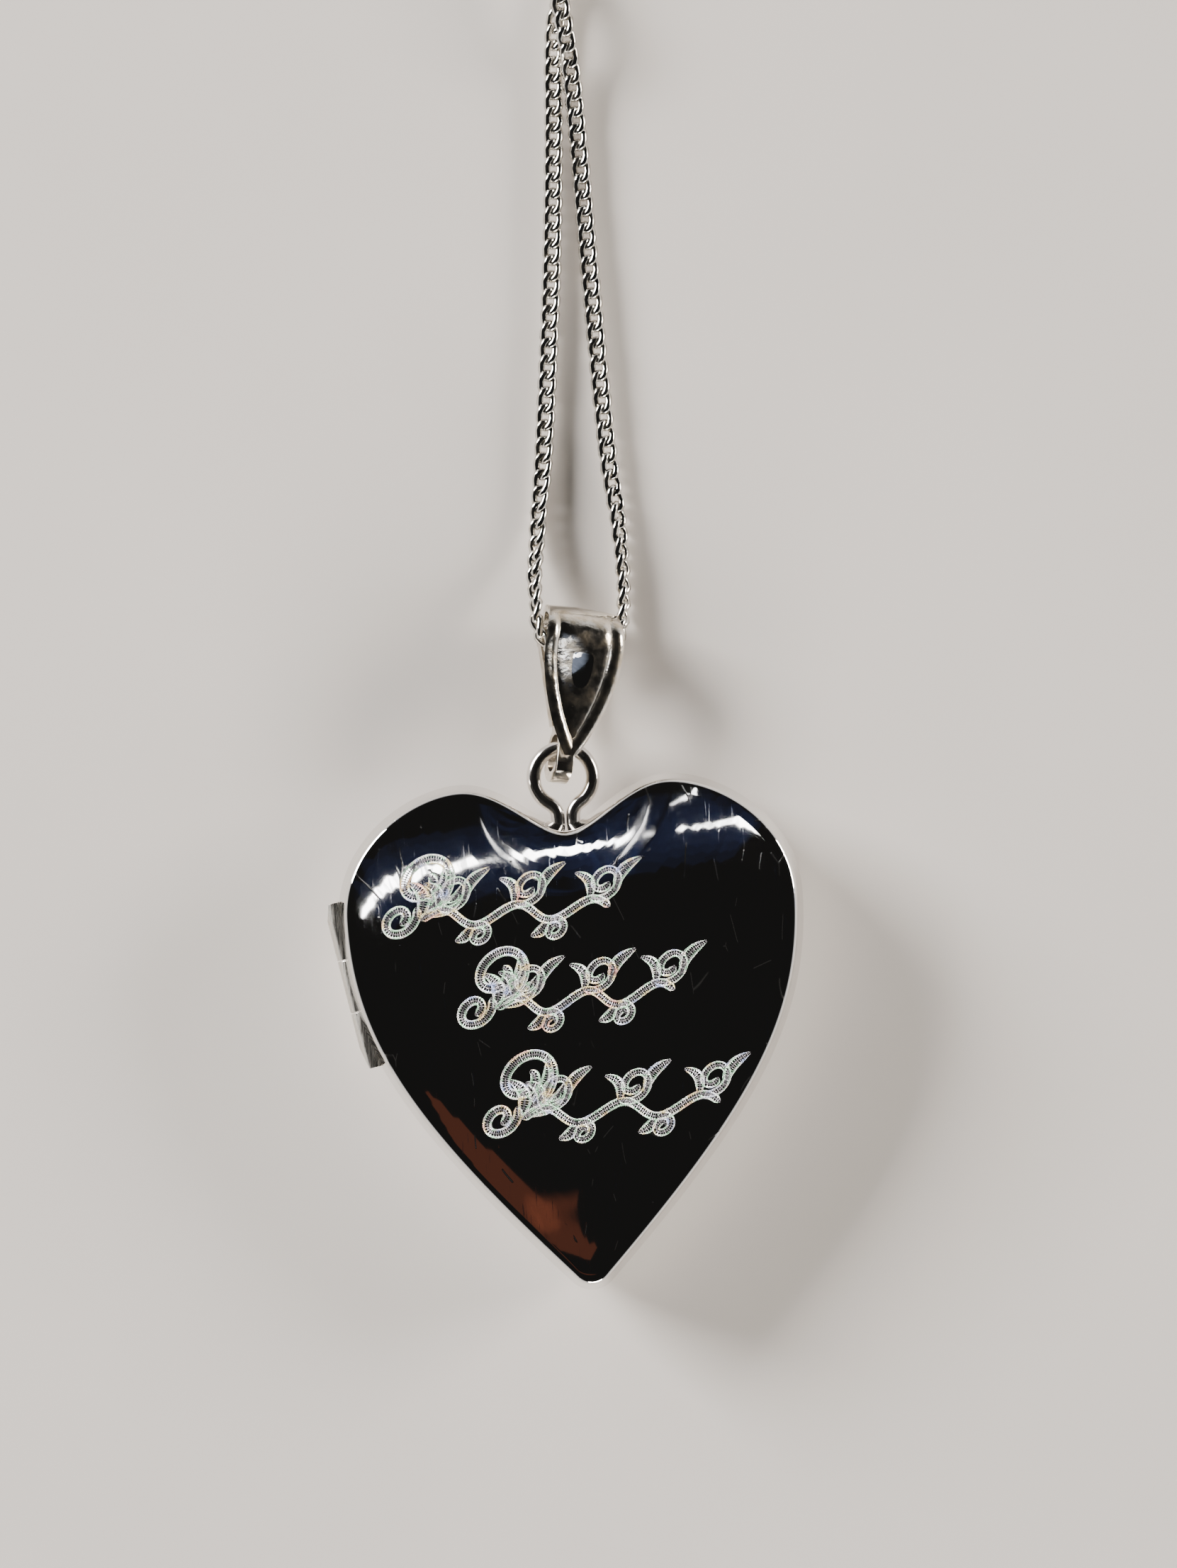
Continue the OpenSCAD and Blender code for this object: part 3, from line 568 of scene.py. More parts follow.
def spray(x0, x1, y0, y1, tall):
    """Strokes of one spray from left to right: (line, full width, kind)."""
    made = []
    long = x1 - x0
    head = x0 + 1.9
    n = max(3, int(round((x1 - head) / 1.75)))
    t = np.linspace(0, 1, 90)
    stem_x = head + (x1 - head) * t
    wave = 0.42 * np.sin(math.pi * n * t)
    stem = np.stack([stem_x, y0 + (y1 - y0) * (stem_x - x0) / long + 0.62 + wave], 1)
    made.append((stem, STROKE_W, "stem"))
    made.append((curl(head - 0.35, y0 + tall * 0.62, tall * 0.36, -60, 1.35, 1, 0.24, 70),
                 STROKE_W * 1.15, "curl"))
    made.append((curl(head - 1.05, y0 + 0.72, 0.86, 40, 1.3, -1, 0.26, 56), STROKE_W * 1.05, "curl"))
    made.append((leaf(head - 0.1, y0 + 0.7, 118, tall * 0.5, -0.22, 26), STROKE_W * 1.6, "leaf"))
    made.append((leaf(head + 0.1, y0 + 0.9, 82, tall * 0.66, -0.16, 28), STROKE_W * 1.5, "leaf"))
    made.append((leaf(head + 0.3, y0 + 0.8, 48, tall * 0.5, -0.2, 26), STROKE_W * 1.4, "leaf"))
    for k in range(n):
        at = (k + 0.5) / n
        x, y = np.interp(at, t, stem[:, 0]), np.interp(at, t, stem[:, 1])
        up = 1 if k % 2 == 0 else -1
        r = 0.84 if up > 0 else 0.5
        made.append((curl(x + 0.3, y + up * (r - 0.05), r, -90 * up - 40 * up, 1.35, up, 0.26, 52),
                     STROKE_W * 0.88, "curl"))
        made.append((leaf(x - 0.2, y, 128 * up, 1.6 if up > 0 else 0.9, -0.22 * up, 24),
                     STROKE_W * 1.25, "leaf"))
        if up > 0:
            made.append((leaf(x + 0.95, y + 0.3, 62, 1.75, 0.2, 24), STROKE_W * 1.3, "leaf"))
    lean = 0.32
    return [(np.stack([p[:, 0] + lean * (p[:, 1] - y0), p[:, 1]], 1), w, kind) for p, w, kind in made]


ACROSS = np.array([-1, -0.9, -0.74, -0.52, -0.2, 0, 0.2, 0.52, 0.74, 0.9, 1])
RIDGE = np.array([-0.03, 0.018, 0.026, 0.004, 0.004, 0.014, 0.004, 0.004, 0.026, 0.018, -0.03])


def engraved(line, width, kind):
    """One stroke as a narrow grid on the face, tapered at its ends. Its UV runs in mm along and across."""
    line = evenly(line, 0.055)
    n = len(line)
    t = np.linspace(0, 1, n)
    ends = np.minimum(1, np.minimum(t, 1 - t) * length(line) / (width * 0.5))
    half = width / 2 * (np.sin(math.pi * np.clip(t * 0.92 + 0.04, 0, 1)) ** 0.8 if kind == "leaf"
                        else np.sqrt(np.maximum(ends, 0.03)))
    along = np.gradient(line, axis=0)
    along /= np.linalg.norm(along, axis=1)[:, None]
    side = np.stack([-along[:, 1], along[:, 0]], 1)
    fresh()
    bpy.ops.mesh.primitive_grid_add(x_subdivisions=len(ACROSS) - 1, y_subdivisions=n - 1)
    strip = started("stroke")
    co = np.zeros((len(ACROSS) * n, 3))
    for row in range(n):
        notch = -0.012 if row % 2 else 0.0
        for col, (v, h) in enumerate(zip(ACROSS, RIDGE)):
            x, y = line[row] + side[row] * v * half[row]
            z, _ = face_z(x, y)
            co[row * len(ACROSS) + col] = x, y, z + h + (notch if abs(v) < 0.7 else 0)
    place(strip, co)
    uv = strip.data.uv_layers.active
    for loop in strip.data.loops:
        row, col = divmod(loop.vertex_index, len(ACROSS))
        uv.data[loop.index].uv = (row * 0.055, ACROSS[col] * half[row])
    return strip


strokes = (spray(-9.2, 1.6, 5.2, 5.35, 3.9) + spray(-5.9, 4.3, 0.75, 1.25, 3.8)
           + spray(-5.0, 6.2, -4.45, -4.15, 4.1))
inside = [s for s in strokes if all(front_tree.ray_cast(Vector((x, y, 10)) * MM, Vector((0, 0, -1)))[0]
                                    for x, y in s[0])]
scrollwork = together("scrollwork", [engraved(*s) for s in inside])
scrollwork.data.shade_smooth()
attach(scrollwork, "locket_front")
print("scrollwork", len(inside), "strokes,", triangles(scrollwork), "triangles")

# %% [markdown]
# ## The wire loop
# A loop of round wire stands in the valley of the heart, with its two legs soldered into the wall. A wire is
# made as it is drawn: one circle is extruded again and again into a straight rod, and then each of its rings
# is set square on the wire's line. The same move makes the clasp's bent tube and its bolt later on.

# %% Bent wire
def bent_wire(name, line, r, corners=32, caps=True):
    """A rod of round wire along a line, its rings square to it."""
    line = np.asarray(line, float)
    fresh()
    bpy.ops.mesh.primitive_circle_add(vertices=corners, radius=1 * MM, fill_type="NOTHING")
    obj = started(name)
    work_on(obj, "EDGE")
    bpy.ops.mesh.select_all(action="SELECT")
    for _ in line[1:]:
        bpy.ops.mesh.extrude_edges_move(TRANSFORM_OT_translate={"value": (0, 0, 1 * MM)})
    close()
    along = np.gradient(line, axis=0)
    along /= np.linalg.norm(along, axis=1)[:, None]
    flat = np.stack([-along[:, 1], along[:, 0], 0 * along[:, 0]], 1)
    flat /= np.linalg.norm(flat, axis=1)[:, None]
    up = np.cross(along, flat)
    co = points(obj)
    ring = np.rint(co[:, 2]).astype(int)
    unit = co[:, :2] / np.linalg.norm(co[:, :2], axis=1)[:, None]
    place(obj, line[ring] + r * (unit[:, :1] * flat[ring] + unit[:, 1:] * up[ring]))
    if caps:
        work_on(obj, "EDGE")
        bpy.ops.mesh.select_non_manifold()
        bpy.ops.mesh.edge_face_add()
        close()
    outward_faces(obj)
    return obj


def arc_line(mid, r, start, end, steps):
    """Points on a level arc, angles in degrees."""
    a = np.radians(np.linspace(start, end, steps))
    return np.array(mid) + np.stack([r * np.cos(a), r * np.sin(a), 0 * a], 1)


RING_R, RING_WIRE, RING_MID = 1.4, 0.335, np.array([0, 12.17, 1.9])
SPREAD, LEG_X, LEG_TOP, LEG_FOOT = -58, 0.36, -1.85, -2.47
CORNER_SLOPE = 0.9 * 0.62 / 0.85  # how steeply the bow's end runs down to the legs
bow = arc_line(RING_MID, RING_R, SPREAD, 180 - SPREAD, 97)
turn = math.radians(SPREAD)
t = np.linspace(0, 1, 25)[:, None]
bow_end = RING_R * np.array([math.cos(turn), math.sin(turn)])
corner = np.array([LEG_X, bow_end[1] - CORNER_SLOPE * (bow_end[0] - LEG_X)])
bend = (1 - t) ** 2 * (LEG_X, LEG_TOP) + 2 * t * (1 - t) * corner + t ** 2 * bow_end
straight = np.stack([np.full(8, LEG_X), np.linspace(LEG_FOOT, LEG_TOP, 9)[:-1]], 1)
leg = np.vstack([straight, bend[:-1]])
leg = np.column_stack([leg, 0 * leg[:, 0]]) + RING_MID
mirrored = (leg[::-1] - RING_MID) * (-1, 1, 1) + RING_MID
wire_loop = bent_wire("wire_loop", np.vstack([leg, bow, mirrored]), RING_WIRE)
smooth(wire_loop, 60)
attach(wire_loop, "locket_back")
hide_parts("bail_ring")
print("wire loop", triangles(wire_loop), "triangles")

# %% [markdown]
# ## The bail
# The bail is a band folded over the chain: a tapered shield in front, a narrower strap behind. It is built
# lying along +Y with its face up and the loop's wire at its origin, and then turned as a whole, because it
# leans, rolls and slopes. The band is one grid wrapped along the side view. Across it, the shield has
# a raised border and a groove inside it, which fade out over the fold.

# %% The bail's place and band
HOOK = Vector((0, 13.57, 1.9))
as_bail = (Matrix.Translation(HOOK) @ Matrix.Rotation(math.radians(-2.5), 4, "X")
           @ Matrix.Rotation(math.radians(-11), 4, "Z") @ Matrix.Rotation(math.radians(17), 4, "Y"))
SHIELD_W, STRAP_W, BAIL_T, FOLD_R, FOLD_Y, SHIELD_TIP, STRAP_FOOT = 3.5, 2.8, 0.4, 0.93, 5.02, -0.35, 1.0
FOLD_OUT = FOLD_R + BAIL_T
shield_edge = bezier((SHIELD_W / 2, FOLD_Y - 0.2), (SHIELD_W / 2, 0.62 * FOLD_Y),
                     (0.28 * SHIELD_W, 0.2 * FOLD_Y), (0.05, SHIELD_TIP))[::-1]


def turned(mm):
    """From the bail's own frame to the shared frame."""
    m = np.array(as_bail)
    return np.asarray(mm) @ m[:3, :3].T + m[:3, 3]


side_line = evenly(np.vstack([
    [(SHIELD_TIP, FOLD_OUT), (FOLD_Y, FOLD_OUT)],
    [(FOLD_Y + FOLD_OUT * math.cos(a), FOLD_OUT * math.sin(a)) for a in np.linspace(1.55, -1.55, 50)],
    [(FOLD_Y, -FOLD_OUT), (STRAP_FOOT, -0.6)]]), 0.085)
side_run = np.linspace(0, length(side_line), len(side_line))
FRONT_LEN = FOLD_Y - SHIELD_TIP
TOP_LEN = FRONT_LEN + math.pi / 2 * FOLD_OUT


def half_width(s, y):
    if s < FRONT_LEN - 0.2:
        return float(np.interp(y, shield_edge[:, 1], shield_edge[:, 0]))
    if s < TOP_LEN:
        return SHIELD_W / 2 - 0.12 * (s - FRONT_LEN) / (TOP_LEN - FRONT_LEN)
    t = np.clip((s - TOP_LEN) / 1.4, 0, 1)
    wide = SHIELD_W / 2 - 0.12 + (STRAP_W / 2 - SHIELD_W / 2 + 0.12) * t * t * (3 - 2 * t)
    return wide if y > FOLD_Y - 0.3 else float(np.interp(y, (STRAP_FOOT, FOLD_Y), (0.42, STRAP_W / 2)))


def relief(s, edge):
    """The shield's raised border and the groove inside it, edge mm in from the side."""
    shown = 1 - np.clip((s - FRONT_LEN - 0.5) / 1.0, 0, 1)
    border = 0.1 * math.exp(-((edge - 0.13) / 0.14) ** 2)
    groove = -0.13 * math.exp(-((edge - 0.44) / 0.15) ** 2)
    return (border + groove) * shown


COLS = 41
fresh()
bpy.ops.mesh.primitive_grid_add(x_subdivisions=COLS - 1, y_subdivisions=len(side_line) - 1)
bail_band = started("bail_band")
face_dir = np.gradient(side_line, axis=0)
face_dir /= np.linalg.norm(face_dir, axis=1)[:, None]
co = np.zeros((COLS * len(side_line), 3))
for row, (y, z) in enumerate(side_line):
    s, (dy, dz) = side_run[row], face_dir[row]
    wide = half_width(s, y)
    for col, v in enumerate(np.sin(np.linspace(-math.pi / 2, math.pi / 2, COLS))):
        lift = relief(s, (1 - abs(v)) * wide) - 0.06 * v * v * min(1, wide)
        co[row * COLS + col] = v * wide, y - dz * lift, z + dy * lift
place(bail_band, turned(co))
modify(bail_band, "SOLIDIFY", thickness=-BAIL_T * 0.85 * MM, offset=-1)
modify(bail_band, "BEVEL", width=0.05 * MM, segments=3, limit_method="ANGLE", angle_limit=math.radians(50))
smooth(bail_band, 50)
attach(bail_band, "bail_and_chain")
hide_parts("bail_body")
print("bail band", triangles(bail_band), "triangles")

# %% [markdown]
# The shield carries a polished teardrop, broad at the top, that follows the shield over the start of the
# fold. It starts as a circle, drawn in ring by ring like the covers, and its rings rise to a soft crown with
# a steep side. Below its foot sits a small bead.

# %% The teardrop and the bead
PANEL_LEN, PANEL_W, PANEL_H, BEAD_R = 4.3, 2.3, 0.35, 0.22
PANEL_TOP = FOLD_Y + 0.45
PANEL_FOOT = PANEL_TOP - PANEL_LEN
tear_half = np.vstack([
    bezier((0, PANEL_TOP), (PANEL_W * 0.36, PANEL_TOP), (PANEL_W / 2, PANEL_TOP - 0.15),
           (PANEL_W / 2, PANEL_TOP - 0.9)),
    bezier((PANEL_W / 2, PANEL_TOP - 0.9), (PANEL_W / 2, PANEL_TOP - 0.55 * PANEL_LEN),
           (PANEL_W * 0.42, PANEL_FOOT), (0, PANEL_FOOT)), [(0, PANEL_FOOT)]])
tear_half = evenly(tear_half, length(tear_half) / 60)
tear = np.vstack([tear_half * (-1, 1), tear_half[-2:0:-1]])
TEAR_STEPS = [1.02, 1.0, 0.985, 0.96, 0.925, 0.88, 0.82, 0.75, 0.66, 0.56, 0.45, 0.34, 0.22, 0.1]


def shield_z(y):
    return FOLD_OUT if y < FOLD_Y else math.sqrt(max(0.0, FOLD_OUT ** 2 - (y - FOLD_Y) ** 2))


fresh()
bpy.ops.mesh.primitive_circle_add(vertices=len(tear), radius=10 * MM, fill_type="NOTHING")
teardrop = started("teardrop")
work_on(teardrop, "EDGE")
bpy.ops.mesh.select_all(action="SELECT")
for step in TEAR_STEPS[1:]:
    bpy.ops.mesh.extrude_edges_move()
    bpy.ops.transform.resize(value=(0.9, 0.9, 0.9))
bpy.ops.mesh.extrude_edges_move()
bpy.ops.mesh.merge(type="CENTER")
close()
tear_mid = np.array([0, (PANEL_TOP + PANEL_FOOT) / 2 + 0.6])
co, made = points(teardrop), []
for x, y, _ in co:
    q = math.hypot(x, y)
    if q < 0.5:
        made.append((0, tear_mid[1], FOLD_OUT + PANEL_H))
        continue
    ring = int(round(math.log(q / 10) / math.log(0.9)))
    turn = int(round(math.atan2(-x, y) / (2 * math.pi) * len(tear))) % len(tear)
    px, py = tear_mid + TEAR_STEPS[ring] * (tear[turn] - tear_mid)
    crown = -0.12 if ring == 0 else PANEL_H * (1 - TEAR_STEPS[ring] ** 3.2) ** 0.55
    made.append((px, py, shield_z(py) + crown))
place(teardrop, turned(made))
outward_faces(teardrop)
teardrop.data.shade_smooth()
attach(teardrop, "bail_and_chain")
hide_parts("bail_panel")

fresh()
bpy.ops.mesh.primitive_uv_sphere_add(segments=32, ring_count=16, radius=BEAD_R * MM)
bead = started("bead")
place(bead, turned(points(bead) + (0, PANEL_FOOT - BEAD_R + 0.1, FOLD_OUT - 0.05)))
bead.data.shade_smooth()
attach(bead, "bail_and_chain")
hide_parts("bail_bead")
print("teardrop", triangles(teardrop), "triangles, bead", triangles(bead))

# %% [markdown]
# ## Small parts from the CAD
# The bail's eye, the knuckles, the catch and the photo frames already have the right shape. The photo frames
# are kept as they are. For each of the others, a copy is merged into one skin, its flat sides are joined into
# single faces, and its edges get the small radius that tumbling leaves on silver. The copy stands for the node.

# %% Softened copies
def softened(node, name, radius, body, crease=40):
    """A copy of a CAD node with softened edges, riding on its body."""
    fresh()
    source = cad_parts[node]
    mesh = source.data.copy()
    obj = bpy.data.objects.new(name, mesh)
    mesh.name = name
    bpy.context.scene.collection.objects.link(obj)
    work_on(obj)
    bpy.ops.mesh.select_all(action="SELECT")
    bpy.ops.mesh.remove_doubles(threshold=0.0005 * MM)
    bpy.ops.mesh.dissolve_limited(angle_limit=math.radians(1.5))
    close()
    if radius:
        modify(obj, "BEVEL", width=radius * MM, segments=3, limit_method="ANGLE",
               angle_limit=math.radians(32), use_clamp_overlap=True)
    smooth(obj, crease)
    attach(obj, body)
    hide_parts(node)
    return obj


soft_parts = [
    softened("bail_eye", "eye_loop", 0.16, "bail_and_chain"),
    softened("hinge_knuckle_upper", "knuckle_upper", 0.04, "locket_back"),
    softened("hinge_knuckle_lower", "knuckle_lower", 0.04, "locket_back"),
    softened("hinge_knuckle_middle", "knuckle_middle", 0.04, "locket_front"),
    softened("catch_tongue", "spring_tongue", 0.03, "locket_front"),
    softened("catch_keeper", "keeper_block", 0.03, "locket_back"),
]
for p in soft_parts:
    print(p.name, triangles(p), "triangles, across", (points(p).max(0) - points(p).min(0)).round(2))

# %% [markdown]
# ## The clasp
# The chain closes with a spring ring: a round tube bent into a ring with a mouth, and a bolt inside that
# slides back on its trigger. The tube is bent wire without its ends, with a slot left open for the trigger
# and a wall made by Solidify. The eye is a small ring of wire on its outside.

# %% Spring ring
CLASP_MID = np.array([2, 64.05, 2.55])
CLASP_R, TUBE_R, BORE_R, BOLT_R, TRIGGER_R, SMALL_WIRE = 1.95, 0.55, 0.36, 0.3, 0.14, 0.2
MOUTH_FROM, MOUTH_TO, TRIGGER_AT, TRAVEL = 60, 120, 134, 50
STEM_LEN = TUBE_R + 0.45

tube = bent_wire("spring_ring", arc_line(CLASP_MID, CLASP_R, MOUTH_TO, 360 + MOUTH_FROM, 97), TUBE_R,
                 caps=False)
work_on(tube, "FACE")
close()
for p in tube.data.polygons:
    c = np.array(p.center) / MM - CLASP_MID
    a = math.degrees(math.atan2(c[1], c[0])) % 360
    p.select = bool(TRIGGER_AT - 6 < a < TRIGGER_AT + TRAVEL + 6 and math.hypot(c[0], c[1]) > CLASP_R
                    and abs(c[2]) < 0.21)
bpy.ops.object.mode_set(mode="EDIT")
bpy.ops.mesh.delete(type="FACE")
close()
outward_faces(tube)
modify(tube, "SOLIDIFY", thickness=(TUBE_R - BORE_R) * MM, offset=-1)
smooth(tube, 50)


def wire_ring(name, r, wire, mid, turn):
    """A closed ring of wire: its own axis is turned by a matrix from +Z."""
    fresh()
    bpy.ops.mesh.primitive_torus_add(major_segments=64, minor_segments=20, major_radius=r * MM,
                                     minor_radius=wire * MM)
    obj = started(name)
    place(obj, points(obj) @ np.array(turn.to_3x3()).T + np.array(mid))
    obj.data.shade_smooth()
    return obj


def on_clasp(angle, r):
    a = math.radians(angle)
    return CLASP_MID + (r * math.cos(a), r * math.sin(a), 0)


def standing(angle):
    """Turns a ring's axis level, square to the clasp's radius at an angle."""
    return Matrix.Rotation(math.radians(angle), 4, "Z") @ Matrix.Rotation(math.pi / 2, 4, "X")


EYE_R = 0.5
EYE_AT = CLASP_R + TUBE_R + EYE_R - 0.05
eye = wire_ring("eye", EYE_R, SMALL_WIRE, on_clasp(240, EYE_AT), Matrix.Identity(4))
spring_ring = together("spring_ring", [tube, eye])
tie_ring = wire_ring("tie_ring", 0.75, SMALL_WIRE, on_clasp(240, EYE_AT + 0.75), standing(240))
last_ring = wire_ring("last_ring", TUBE_R + SMALL_WIRE + 0.15, SMALL_WIRE, on_clasp(300, CLASP_R + 0.12),
                      standing(300))

rod = bent_wire("bolt", arc_line(CLASP_MID, CLASP_R, MOUTH_FROM + 0.5, MOUTH_TO + 52, 41), BOLT_R, 24)
fresh()
bpy.ops.mesh.primitive_cylinder_add(vertices=24, radius=TRIGGER_R * MM, depth=STEM_LEN * MM)
stem = started("trigger_stem")
lying = Matrix.Rotation(math.radians(TRIGGER_AT), 4, "Z") @ Matrix.Rotation(math.pi / 2, 4, "Y")
place(stem, points(stem) @ np.array(lying.to_3x3()).T + on_clasp(TRIGGER_AT, CLASP_R + STEM_LEN / 2))
fresh()
bpy.ops.mesh.primitive_uv_sphere_add(segments=24, ring_count=14, radius=2 * TRIGGER_R * MM)
knob = started("trigger_knob")
place(knob, points(knob) + on_clasp(TRIGGER_AT, CLASP_R + STEM_LEN))
clasp_trigger = together("trigger_bolt", [rod, stem, knob])
smooth(clasp_trigger, 50)
for obj, node, body in ((spring_ring, "clasp_body", "bail_and_chain"),
                        (tie_ring, "clasp_link", "bail_and_chain"),
                        (last_ring, "end_ring", "bail_and_chain"),
                        (clasp_trigger, "clasp_bolt", "clasp_trigger")):
    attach(obj, body)
    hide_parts(node)
    print(obj.name, triangles(obj), "triangles")

# %% [markdown]
# ## Finishes
# Everything but the photo cards and their windows is silver, and what tells the parts apart is how each was
# finished. One small function adds a node with its settings and its links. Colours are written as sRGB hex,
# as on a paint chart, and turned linear once.

# %% Material helpers
def colour(hex_code):
    """An sRGB hex colour as linear RGBA."""
    parts = [int(hex_code[i:i + 2], 16) / 255 for i in (1, 3, 5)]
    return tuple(c / 12.92 if c <= 0.04045 else ((c + 0.055) / 1.055) ** 2.4 for c in parts) + (1.0,)


def finish(name, base, metallic, roughness, **sockets):
    """A new material and its shader, with the values that are the same all over the surface."""
    m = bpy.data.materials.new(name)
    m.use_nodes = True
    shader = m.node_tree.nodes["Principled BSDF"]
    shader.inputs["Base Color"].default_value = colour(base)
    shader.inputs["Metallic"].default_value = metallic
    shader.inputs["Roughness"].default_value = roughness
    for key, value in sockets.items():
        shader.inputs[key.replace("_", " ")].default_value = value
    return m, shader


def add(m, kind, inputs=(), **settings):
    """Adds a node. inputs gives a value or an output for each named or numbered socket."""
    node = m.node_tree.nodes.new(kind)
    for key, value in settings.items():
        setattr(node, key, value)
    for key, value in dict(inputs).items():
        if isinstance(value, bpy.types.NodeSocket):
            m.node_tree.links.new(value, node.inputs[key])
        else:
            node.inputs[key].default_value = value
    return node


def maths(m, operation, *values, **settings):
    return add(m, "ShaderNodeMath", dict(enumerate(values)), operation=operation, **settings).outputs[0]


def vectors(m, operation, *values):
    return add(m, "ShaderNodeVectorMath", dict(enumerate(values)), operation=operation).outputs[0]


def noise(m, vector, scale, detail, **more):
    return add(m, "ShaderNodeTexNoise", {"Vector": vector, "Scale": scale, "Detail": detail, **more}).outputs["Fac"]


def dented(m, shader, height, strength, distance):
    """Bump from a height, of a depth in metres."""
    bump = add(m, "ShaderNodeBump", {"Height": height, "Strength": strength, "Distance": distance})
    join(m, bump.outputs[0], shader.inputs["Normal"])


def tinted(m, shader, factor, first, second):
    """Base colour from one tone to another."""
    mix = add(m, "ShaderNodeMix", {"Factor": factor}, data_type="RGBA")
    mix.inputs[6].default_value, mix.inputs[7].default_value = colour(first), colour(second)
    join(m, mix.outputs[2], shader.inputs["Base Color"])


def join(m, output, socket):
    m.node_tree.links.new(output, socket)


def ramp(m, fac, low, high, start=0.0, end=1.0):
    """A smooth step of a value from start to end, as fac goes from low to high."""
    return add(m, "ShaderNodeMapRange", {"Value": fac, "From Min": low, "From Max": high, "To Min": start,
                                         "To Max": end}, interpolation_type="SMOOTHSTEP").outputs[0]


def in_mm(m, scale=(1, 1, 1), turn=0.0):
    """Object coordinates in millimetres, stretched and turned for a pattern."""
    coords = add(m, "ShaderNodeTexCoord").outputs["Object"]
    return add(m, "ShaderNodeMapping", {"Vector": coords, "Scale": [1000 * s for s in scale],
                                        "Rotation": (0, 0, turn)}).outputs[0]


# %% [markdown]
# Mirror polished silver is one smooth reflection, so its life is in its wear. Polishing leaves hairlines
# along the heart, about 0.03 mm wide, which catch a light beside its reflection and give it a bluish halo.
# Pockets and fingers leave longer stray scratches, and a few specks of dust lie on the face. A metal keeps
# the default IOR.

# %% Mirror polished silver
def polished(name, base, hairs, scratches, roughness=0.035):
    m, shader = finish(name, base, 1.0, roughness)
    hair = ramp(m, noise(m, in_mm(m, (14, 0.5, 3), 0.06), 1.0, 3.0, Roughness=0.7), 0.6, 0.82)
    patch = ramp(m, noise(m, in_mm(m), 0.35, 2.0), 0.38, 0.62, 0.35, 1.0)
    hair = maths(m, "MULTIPLY", hair, patch)
    bent = add(m, "ShaderNodeTexNoise", {"Vector": in_mm(m), "Scale": 0.22, "Detail": 1.0}).outputs["Color"]
    lines = []
    for size, turn in ((0.24, 0.4), (0.5, 1.3)):
        at = vectors(m, "ADD", in_mm(m, (1, 0.45, 1), turn), bent)
        edge = add(m, "ShaderNodeTexVoronoi", {"Vector": at, "Scale": size}, feature="DISTANCE_TO_EDGE")
        some = noise(m, in_mm(m), size * 1.9, 0.0)
        line = ramp(m, edge.outputs["Distance"], 0.0, 0.035 * size, 1.0, 0.0)
        lines.append(maths(m, "MULTIPLY", line, ramp(m, some, 0.63, 0.68)))
    dust = add(m, "ShaderNodeTexVoronoi", {"Vector": in_mm(m), "Scale": 0.9}, feature="F1")
    lucky = add(m, "ShaderNodeSeparateColor", {"Color": dust.outputs["Color"]}).outputs[0]
    speck = maths(m, "MULTIPLY", ramp(m, dust.outputs["Distance"], 0.02, 0.06, 1.0, 0.0),
                  ramp(m, lucky, 0.5, 0.55))
    marks = maths(m, "MAXIMUM", maths(m, "MAXIMUM", *lines), speck)
    rough = maths(m, "MULTIPLY_ADD", hair, hairs, roughness)
    join(m, maths(m, "MULTIPLY_ADD", marks, scratches, rough, use_clamp=True), shader.inputs["Roughness"])
    tinted(m, shader, hair, base, "#b4c6f0")
    dented(m, shader, marks, 0.25, 0.00001)
    return m


mirror_silver = polished("mirror_polished_silver", "#e9e7e4", 0.24, 0.2, 0.022)
rim_silver = polished("polished_wire_silver", "#e6e2dc", 0.1, 0.1, 0.15)

# %% [markdown]
# The cast bail was tumbled bright, which leaves it softer than a hand-polished face, with a faint ripple a
# few tenths of a millimetre across and a warm, cloudy tarnish. Satin silver inside the covers and on the
# knuckles is scratch-brushed. Chain silver is bright all over and fine enough to need no scratches.

# %% Other silvers
def tumbled(name, base, shade, roughness, ripple, scale):
    m, shader = finish(name, base, 1.0, roughness)
    cloud = noise(m, in_mm(m), scale, 3.0)
    tinted(m, shader, ramp(m, cloud, 0.42, 0.68), base, shade)
    join(m, ramp(m, cloud, 0.3, 0.75, roughness * 0.7, roughness * 1.6), shader.inputs["Roughness"])
    dented(m, shader, noise(m, in_mm(m), scale * 2.2, 2.0), ripple, 0.00004)
    return m


def brushed(name, base, roughness, grain):
    """Fine lines 0.05 mm apart, along Y."""
    m, shader = finish(name, base, 1.0, roughness)
    lines = noise(m, in_mm(m, (20, 0.8, 6)), 1.0, 2.0)
    join(m, ramp(m, lines, 0.3, 0.7, roughness * 0.75, roughness * 1.3), shader.inputs["Roughness"])
    dented(m, shader, lines, grain, 0.00002)
    return m


cast_silver = tumbled("tumbled_cast_silver", "#e2ddd4", "#c4b9a6", 0.16, 0.35, 1.6)
chain_silver = tumbled("bright_chain_silver", "#e8e5df", "#d3cdc2", 0.13, 0.2, 2.4)
satin_silver = brushed("scratch_brushed_silver", "#dcd9d2", 0.26, 0.3)
pin_steel = brushed("drawn_steel_wire", "#a9a7a3", 0.3, 0.3)

# %% [markdown]
# A graver's cuts throw light in every direction and split it a little, so they look white with a pastel tint
# that changes along the stroke. The tint is a slow rainbow over the stroke's length, washed out almost to
# white. The cross cuts are a wave of 0.11 mm along the stroke, read from the strokes' own UV map in mm.

